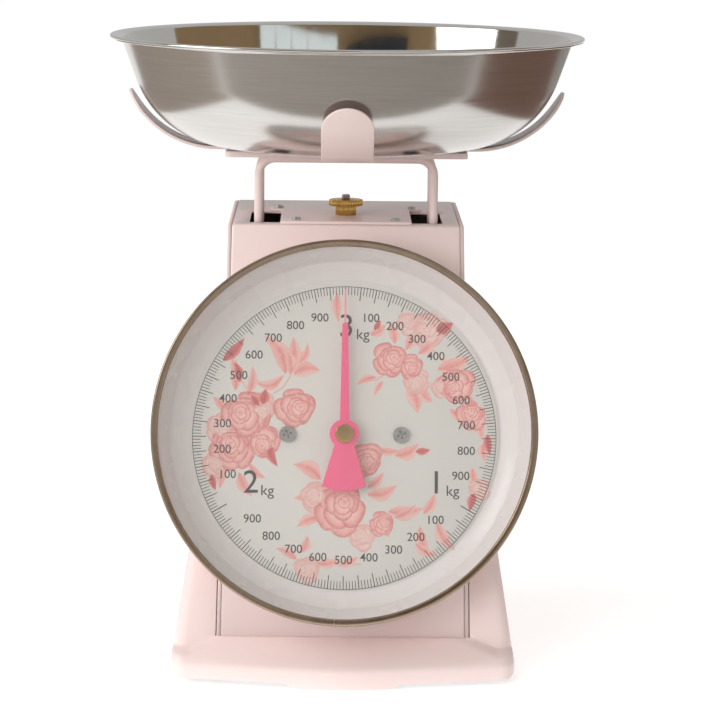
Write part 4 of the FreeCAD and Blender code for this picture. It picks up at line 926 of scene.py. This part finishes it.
def make_bezel():
    """A folded ring, split at the bottom, with a rolled outer edge and a bright face."""
    outer = BEZEL_RADIUS
    profile = [(outer - 0.8, BEZEL_BACK), (outer - 0.2, BEZEL_BACK)]
    profile += arc(outer - 0.35, BEZEL_BACK + 0.8, 0.35, -60, 60, 4)
    profile += [(outer - 0.35, BEZEL_BACK + 1.5), (outer - 0.35, BEZEL_FRONT - 3.2)]
    profile.append((outer, BEZEL_FRONT - 2.6))
    profile += arc(outer - 1.3, BEZEL_FRONT - 1.3, 1.3, 0, 100, 8)
    profile += arc(outer - 2.2, BEZEL_FRONT - 1.2, 1.0, 85, 180, 6)
    profile += [(outer - 3.4, BEZEL_FRONT - 1.6), (outer - 3.2, BEZEL_FRONT - 1.9)]
    profile += [(outer - 1.4, BEZEL_FRONT - 1.9), (outer - 1.1, BEZEL_FRONT - 2.6)]
    bm = spun(profile, 200, 360 - BEZEL_SEAM_GAP)
    bmesh.ops.holes_fill(bm, edges=bm.edges, sides=len(profile))
    turn_about_z(bm, bm.verts, math.radians(BEZEL_SEAM))
    on_dial("bezel", bm, "housing", "bezel_chrome", 45)


def bar_tick(bm, angle, length, width):
    """One printed tick as a thin strip pointing at the centre, angle clockwise from the top."""
    direction = Vector((math.sin(angle), math.cos(angle), 0))
    side = Vector((direction.y, -direction.x, 0)) * width / 2
    level = Vector((0, 0, PLATE_LIFT + PRINT_LIFT * 3))
    inner = direction * (DIAL_RADIUS - length) + level
    outer = direction * DIAL_RADIUS + level
    corners = (inner - side, outer - side, outer + side, inner + side)
    bm.faces.new([bm.verts.new(corner) for corner in corners])


def make_ticks():
    bm = bmesh.new()
    count = DIAL_KILOGRAMS * TICKS_PER_KILOGRAM
    for index in range(count):
        angle = 2 * math.pi * index / count
        if index % TICKS_PER_KILOGRAM == 0:
            size = KILOGRAM_TICK
        elif index % 5 == 0:
            size = MIDDLE_TICK
        else:
            size = SHORT_TICK
        bar_tick(bm, angle, *size)
    line = bmesh.ops.create_circle(bm, segments=240, radius=DIAL_RADIUS)["verts"]
    line_edges = list({edge for vert in line for edge in vert.link_edges})
    ring = bmesh.ops.extrude_edge_only(bm, edges=line_edges)
    outer = [item for item in ring["geom"] if isinstance(item, bmesh.types.BMVert)]
    for vert in outer:
        vert.co *= (DIAL_RADIUS + TICK_RING_WIDTH) / DIAL_RADIUS
    bmesh.ops.translate(bm, verts=line + outer, vec=(0, 0, PLATE_LIFT + PRINT_LIFT * 3))
    print_on_card("dial_ticks", bm, "ink")


def face_outwards(bm):
    bm.normal_update()
    for face in bm.faces:
        if face.normal.z < 0:
            face.normal_flip()


def text_mesh(words, size, x, y, level, bold=0.0):
    """Numerals as flat faces, centred on a place on the dial, in millimetres."""
    curve = bpy.data.curves.new("numerals", "FONT")
    curve.body = words
    curve.size = size
    curve.align_x = "CENTER"
    curve.align_y = "CENTER"
    curve.offset = bold
    curve.resolution_u = 4
    thing = linked("numerals", curve)
    bm = bmesh_of(thing)
    bpy.data.objects.remove(thing)
    bpy.data.curves.remove(curve)
    bmesh.ops.translate(bm, verts=bm.verts, vec=(x, y, level))
    face_outwards(bm)
    return bm


def make_numerals():
    bm = bmesh.new()
    level = PLATE_LIFT + PRINT_LIFT * 4
    steps = DIAL_KILOGRAMS * 10
    for step in range(steps):
        grams = step % 10 * 100
        angle = 2 * math.pi * step / steps
        if grams:
            x = NUMERAL_RADIUS * math.sin(angle)
            y = NUMERAL_RADIUS * math.cos(angle)
            join(bm, text_mesh(str(grams), NUMERAL_SIZE, x, y, level, 0.02))
    for kilograms, (x, y) in KILOGRAM_PLACES.items():
        join(bm, text_mesh(str(kilograms), KILOGRAM_SIZE, x, y, level))
        join(bm, text_mesh("kg", UNIT_SIZE, x + UNIT_SHIFT[0], y + UNIT_SHIFT[1], level))
    print_on_card("dial_numerals", bm, "ink")


def patch(bm, uv_layer, grid):
    """Faces over rows of (x, y, level, u, v) points."""
    rows = [[(bm.verts.new(point[:3]), point[3:]) for point in line] for line in grid]
    for low_line, high_line in zip(rows, rows[1:]):
        for index in range(len(low_line) - 1):
            corners = [low_line[index], low_line[index + 1], high_line[index + 1], high_line[index]]
            face = bm.faces.new([corner[0] for corner in corners])
            for loop, corner in zip(face.loops, corners):
                loop[uv_layer].uv = corner[1]


def petal(bm, uv_layer, level, centre, angle, near, far, spread):
    """A rounded fan between two radii. UV runs across in X and from base to edge in Y."""
    across = 12
    out = 6
    grid = []
    for row in range(out + 1):
        v = row / out
        line = []
        for column in range(across + 1):
            u = column / across * 2 - 1
            edge = 1 - 0.16 * u ** 2 - 0.20 * u ** 6 + 0.03 * math.sin(u * 5 + angle * 3)
            reach = near + (far - near) * v * edge
            turn = angle + spread * u * (0.6 + 0.4 * v) + PETAL_CURL * v
            x = centre[0] + reach * math.sin(turn)
            y = centre[1] + reach * math.cos(turn)
            line.append((x, y, level, column / across, v))
        grid.append(line)
    patch(bm, uv_layer, grid)


def rose(bm, uv_layer, level, x, y, size, turn):
    """Broad outer petals, then tighter and tighter ones about a heart set off to one side."""
    for ring, (count, share, shift) in enumerate(ROSE_RINGS):
        centre = (x + shift * size * math.cos(turn), y + shift * size * math.sin(turn))
        for index in range(count):
            angle = turn * 2 + ring * 0.9 + 2 * math.pi * index / count + random.uniform(-0.2, 0.2)
            reach = size * share * random.uniform(0.86, 1.08)
            height = level + PRINT_LIFT * 0.04 * (ring * 6 + index)
            petal(bm, uv_layer, height, centre, angle, 0.04 * size, reach, math.pi / count * 1.3)


def leaf(bm, uv_layer, level, x, y, length, width, turn, bow=0.2):
    """A pointed leaf growing from (x, y); turn is clockwise from straight up, in degrees."""
    heading = math.radians(turn)
    along = Vector((math.sin(heading), math.cos(heading)))
    side = Vector((along.y, -along.x))
    rows = 10
    columns = 6
    grid = []
    for row in range(rows + 1):
        v = row / rows
        notch = 0.08 * math.sin(v * 26)
        half = width / 2 * (math.sin(math.pi * v ** 0.8) + notch * math.sin(math.pi * v)) + 0.04
        middle = Vector((x, y)) + along * length * v + side * bow * length * math.sin(math.pi * v) * 0.5
        line = []
        for column in range(columns + 1):
            u = column / columns * 2 - 1
            point = middle + side * half * u
            tone = 0.15 * v + (0.75 * u if u > 0 else -0.4 * u)
            line.append((point.x, point.y, level, v, tone))
        grid.append(line)
    patch(bm, uv_layer, grid)


def stem(bm, uv_layer, level, *points):
    """A thin drawn stem through (x, y) points."""
    grid = []
    for index, (x, y) in enumerate(points):
        before = Vector(points[max(index - 1, 0)])
        after = Vector(points[min(index + 1, len(points) - 1)])
        along = (after - before).normalized()
        side = Vector((along.y, -along.x)) * STEM_WIDTH / 2
        low = (x - side.x, y - side.y, level, index, 0.2)
        high = (x + side.x, y + side.y, level, index, 0.5)
        grid.append([low, high])
    patch(bm, uv_layer, grid)


# Petal rings of a rose, from the outside in: petals, share of its size, shift of the heart.
ROSE_RINGS = [(5, 1, 0), (4, 0.8, 0.08), (4, 0.6, 0.16), (3, 0.42, 0.22), (3, 0.26, 0.26), (2, 0.13, 0.28)]

# The bouquet printed on the card, in millimetres from the middle of the print: a rose is (x, y, size,
# turn in radians), a leaf or a bud (x, y, length, width, turn in degrees, bow), a stem its points.
ROSES = [
    (-23.5, 13.5, 10, 0.3), (-47, 9, 13, 2.4), (-53, -6, 11, 2), (-38.5, -2, 9, 4.4), (21.5, 37, 9, 0.6),
    (31.5, 34, 6.5, 5.4), (53.5, 25, 9, 3.4), (60.5, 11, 7.5, 1.6), (-1, -34, 13, 1.2),
    (10, -10.5, 8.5, 5.2), (18, -41, 6.5, 0.3),
]
PALE_ROSES = [
    (-58, 3, 9, 1.2), (-40, 13.5, 8, 5), (40, 52, 9, 3), (29.5, 55, 6, 2), (-13, -28, 8, 2.8),
    (9, -47, 7, 1.8), (34, 27, 7, 4.6), (64, -24, 5.5, 2.8), (-17, -63, 6.5, 1.2), (-62, -14, 6.5, 0.4),
    (46, 24, 5.5, 2.2),
]
LEAVES = [
    (-26, 30, 18, 7.5, 4, 0.15), (-28, 30, 21, 8, -30, 0.3), (-29, 29.5, 15, 5, -100, -0.5),
    (-24.5, 30, 13, 7.5, 82, -0.3), (-22, 35, 11, 3.5, 22, 0.3), (-25.5, 33, 8, 5, -12, 0.1),
    (-52, 22, 16, 5.5, -8), (-46, 20, 14, 4.5, 8), (-57, 12, 9, 4.5, -40), (-50, -17, 13, 5.5, 150),
    (-57, -14, 11, 5, 190, 0.1), (-45, -13, 10, 4.5, 130, 0.3), (12, 49, 9, 4.5, 55),
    (24, 45, 11, 5, -14, 0.1), (29, 42, 13, 5.5, 18), (35, 40, 13, 5.5, 40), (30, 25, 14, 8, 160, -0.2),
    (36, 24, 9, 5.5, 140), (15, 29, 10, 3.8, -112), (18, 27, 8, 3, -150, 0.1), (44, 33, 17, 8, 68),
    (60, 20, 15, 5.5, 158), (64, 12, 13, 5, 172, 0.1), (50, 14, 12, 4.5, 118), (66, -2, 9, 4.5, 175, 0.1),
    (-11, -20, 15, 7.5, -62, 0.3), (-10, -32, 14, 6.5, -78, 0.3), (-11, -38, 12, 5.5, -112),
    (11, -27, 15, 6.5, 72, 0.3), (11, -24, 11, 4.5, 45), (24, -8.5, 13, 6.5, 62, 0.3),
    (16, -6, 11, 4, 92, 0.1), (21, -35, 17, 7, 84), (24, -38, 12, 4.5, 58), (12, -39, 13, 5, 130, -0.2),
    (38, -36, 11, 5, 28), (36, -42, 16, 5.5, 160), (44, -40, 16, 5.5, 146), (34, -50, 12, 4.5, 120),
    (-20, -55, 9, 4.5, 20), (-13, -60, 12, 4.5, 78), (-2, -60.5, 10, 4, 66), (-22, -58, 11, 4.5, -62),
    (61, -14, 12, 4.5, 165), (-4, 69, 14, 4.5, 176, 0.1),
]
BUDS = [
    (-39, 15.5, 7.5, 5, 10, 0.1), (-41, 15, 6, 4, -35, 0.1), (43.5, 51, 9, 6, 62, 0.1),
    (-58, 36, 15, 5, 42, 0.1), (-50, 26, 10, 4, -15), (68, 2, 10, 4, 172, 0.1),
    (34, -6.5, 7, 3.5, 82, 0.1), (-36, -3, 12, 4.5, 158), (26, 35, 8, 5, -60),
    (14, 51.5, 5.5, 3, 30, 0.1), (62, -26, 9, 4, 195, 0.1), (-63, -18, 8, 3.5, 165, 0.1),
]
STEMS = [
    [(-25, 34), (-26, 29), (-29, 24), (-34, 20.5)], [(-26.5, 30), (-22.5, 35), (-20, 41)],
    [(14, 27), (19, 30), (24, 33)], [(14, -7), (24, -7.5), (34, -6)], [(20, -38), (28, -35), (36, -34)],
    [(-46, 22), (-51, 30), (-52, 37)], [(40, 44), (46, 38), (52, 30)], [(-8, -58), (-2, -61), (8, -60)],
]


def make_flowers():
    """Every print lies a little above the one before it, and so does every flower within a print."""
    random.seed(7)
    prints = [
        ("printed_leaves", "leaf", leaf, LEAVES, 0.3, 0.008),
        ("printed_buds", "leaf_dark", leaf, BUDS, 1.4, 0.008),
        ("printed_pale_roses", "petal_pale", rose, PALE_ROSES, 0.75, 0.01),
        ("printed_roses", "petal", rose, ROSES, 1.05, 0.01),
        ("printed_stems", "leaf", stem, STEMS, 0.25, 0.0),
    ]
    for name, look, draw, places, lift, rise in prints:
        bm = bmesh.new()
        uv_layer = bm.loops.layers.uv.new("print")
        for index, place in enumerate(places):
            draw(bm, uv_layer, PLATE_LIFT + PRINT_LIFT * (lift + rise * index), *place)
        print_on_card(name, bm, look)


def make_dial_screws():
    screws = screws_at([(-SCREW_SPACING, 0), (SCREW_SPACING, 0)], PLATE_LIFT, *DIAL_SCREW)
    on_dial("dial_screws", screws, "housing", "zinc_steel")


def make_pointer():
    low = POINTER_LIFT
    high = POINTER_LIFT + POINTER_SHEET
    hub_angle = math.degrees(math.asin(ARM_ROOT_HALF / HUB_RADIUS))
    tail_angle = math.degrees(math.asin(TAIL_HALF / TAIL_RADIUS))
    outline = arc(0, ARM_REACH - ARM_TIP_HALF, ARM_TIP_HALF, 180, 0, 10)
    outline += arc(0, 0, HUB_RADIUS, 90 - hub_angle, -48, 12)
    outline += arc(0, 0, TAIL_RADIUS, -90 + tail_angle, -90 - tail_angle, 12)
    outline += arc(0, 0, HUB_RADIUS, 228, 90 + hub_angle, 12)
    bm = prism(outline, low, high)
    bevel(bm, sharp_edges(bm, 60), 0.22, 3)
    on_dial("pointer", bm, "pointer", "pointer_paint")
    root = ARM_REACH - 1
    needle = [(-0.55, root), (0.55, root), (0.4, NEEDLE_REACH), (-0.4, NEEDLE_REACH)]
    needle = prism(needle, low + 0.1, low + 0.45)
    on_dial("pointer_needle", needle, "pointer", "pointer_paint", looks=["pointer_tip"])
    cap = [(0, high), (4.5, high), (4.5, high + 0.9)] + arc(3.6, high + 0.9, 0.9, 0, 90, 5)
    cap += [(2.4, high + 1.8), (2.1, high + 1.2), (1.2, high + 1.2), (1.0, high + 1.9), (0, high + 1.95)]
    on_dial("pointer_cap", spun(cap, 48), "pointer", "brass")


# ---- Nodes that keep their shape

def paint_frame_nodes():
    """Gives every remaining node its finish."""
    slots = {part["node"]: part["material_slot"] for part in frame["record"]["subparts"]}
    for node, thing in frame["nodes"].items():
        for material_slot in thing.material_slots:
            material_slot.material = materials[slots[node]]


# ---- Stage, light and camera

def add_card(name, place, aim, width, height, colour, glow=0.0):
    """A flat board that only shapes the light and the reflections."""
    finish = Finish(name)
    finish.set(Base_Color=colour, Roughness=0.9)
    if glow:
        finish.set(Emission_Color=colour, Emission_Strength=glow)
    bm = bmesh.new()
    bmesh.ops.create_grid(bm, x_segments=1, y_segments=1, size=0.5)
    turn = (Vector(aim) - Vector(place)).to_track_quat("Z", "Y").to_matrix().to_4x4()
    grow = Matrix.Diagonal((width, height, 1, 1))
    bmesh.ops.transform(bm, matrix=Matrix.Translation(place) @ turn @ grow, verts=bm.verts)
    card = object_of(name, bm)
    card.data.materials.append(finish.material)
    card.visible_camera = name == "floor"


def add_floor_card(name, low, high, colour):
    """A board lying just above the floor, between two (x, y) corners."""
    middle = ((low[0] + high[0]) / 2, (low[1] + high[1]) / 2, 0.0005)
    above = (middle[0], middle[1], 1.0)
    add_card(name, middle, above, high[0] - low[0], high[1] - low[1], colour)


def from_front(azimuth, elevation, distance, height=0.28):
    """A place seen from the bowl, its azimuth turned from straight ahead towards +X, in degrees."""
    turn = math.radians(azimuth)
    rise = math.radians(elevation)
    return (distance * math.sin(turn) * math.cos(rise), -distance * math.cos(turn) * math.cos(rise),
            height + distance * math.sin(rise))


def make_stage():
    add_card("floor", (0, 0, 0), (0, 0, 1), 40.0, 40.0, srgb(253, 253, 253), 0.5)
    # Only seen in the steel: tables on both sides and in front, the far room, walls and a window.
    add_floor_card("side_table_left", (-1.8, -0.15), (-0.36, 1.1), srgb(190, 178, 168))
    add_floor_card("side_table_right", (0.34, -0.15), (1.8, 0.85), srgb(150, 118, 104))
    add_floor_card("far_right", (0.5, 0.85), (2.4, 2.4), srgb(200, 196, 192))
    add_floor_card("front_table", (-1.2, -1.4), (1.2, -0.5), srgb(205, 200, 194))
    add_floor_card("near_table", (-0.9, -0.5), (0.9, -0.17), srgb(190, 184, 178))
    wall = srgb(150, 126, 94)
    for azimuth in range(-60, 106, 15):
        add_card("room_wall", from_front(azimuth, 32, WALL_DISTANCE), BOWL_PLACE, 0.92, 1.5, wall)
    for azimuth in (11, 20, 30, 40, 50):
        place = from_front(azimuth, ROOM_ELEVATION, WINDOW_DISTANCE)
        add_card("window_pane", place, BOWL_PLACE, 0.42, 0.6, srgb(205, 215, 218), 0.5)
    place = from_front(-19, ROOM_ELEVATION + 0.5, WINDOW_DISTANCE)
    add_card("dark_picture", place, BOWL_PLACE, 1.7, 0.5, srgb(44, 48, 52))
    add_card("grey_screen", from_front(-103, 32, 2.6), BOWL_PLACE, 0.8, 0.9, srgb(120, 110, 98))


def add_light(name, place, aim, size, power, mirrored=True):
    light = bpy.data.lights.new(name, "AREA")
    light.shape = "RECTANGLE"
    light.size, light.size_y = size
    light.energy = power
    lamp = linked(name, light)
    lamp.visible_glossy = mirrored
    lamp.location = place
    lamp.rotation_euler = (Vector(aim) - Vector(place)).to_track_quat("-Z", "Y").to_euler()


def make_lights():
    world = bpy.data.worlds.new("studio")
    world.use_nodes = True
    bpy.context.scene.world = world
    background = world.node_tree.nodes["Background"]
    background.inputs["Color"].default_value = (1.0, 0.99, 0.98, 1)
    background.inputs["Strength"].default_value = WORLD_STRENGTH
    add_light("key_left", from_front(-78, 26, 2.0), LIGHT_AIM, (1.2, 1.0), 11)
    add_light("front_soft", from_front(-36, 10, 2.3), LIGHT_AIM, (1.6, 0.9), 20, False)
    add_light("high_soft", from_front(-20, 34, 1.9), LIGHT_AIM, (1.0, 0.8), 5, False)


def make_camera():
    """Looks slightly down at the front, from about a metre and a half away."""
    camera = bpy.data.cameras.new("camera")
    camera.sensor_width = 36.0
    camera.lens = CAMERA_LENS
    thing = linked("camera", camera)
    thing.location = CAMERA_PLACE
    yaw = Matrix.Rotation(math.radians(CAMERA_YAW), 3, "Z")
    pitch = Matrix.Rotation(math.radians(90 - CAMERA_DIP), 3, "X")
    roll = Matrix.Rotation(math.radians(CAMERA_ROLL), 3, "Z")
    thing.rotation_euler = (yaw @ pitch @ roll).to_euler()
    bpy.context.scene.camera = thing
    bpy.context.scene.view_settings.view_transform = "Standard"


make_camera()
make_stage()
make_lights()
paint_frame_nodes()
make_bowl()
make_carrier()
make_yoke("yoke_front", YOKE_LOW.y / MM + ROD_RADIUS)
make_yoke("yoke_rear", -YOKE_LOW.y / MM - ROD_RADIUS)
make_casing_front()
make_rear_cover()
make_base()
make_bridge()
make_zero_adjuster()
make_dial_case()
make_bezel()
make_ticks()
make_numerals()
make_flowers()
make_dial_screws()
make_pointer()
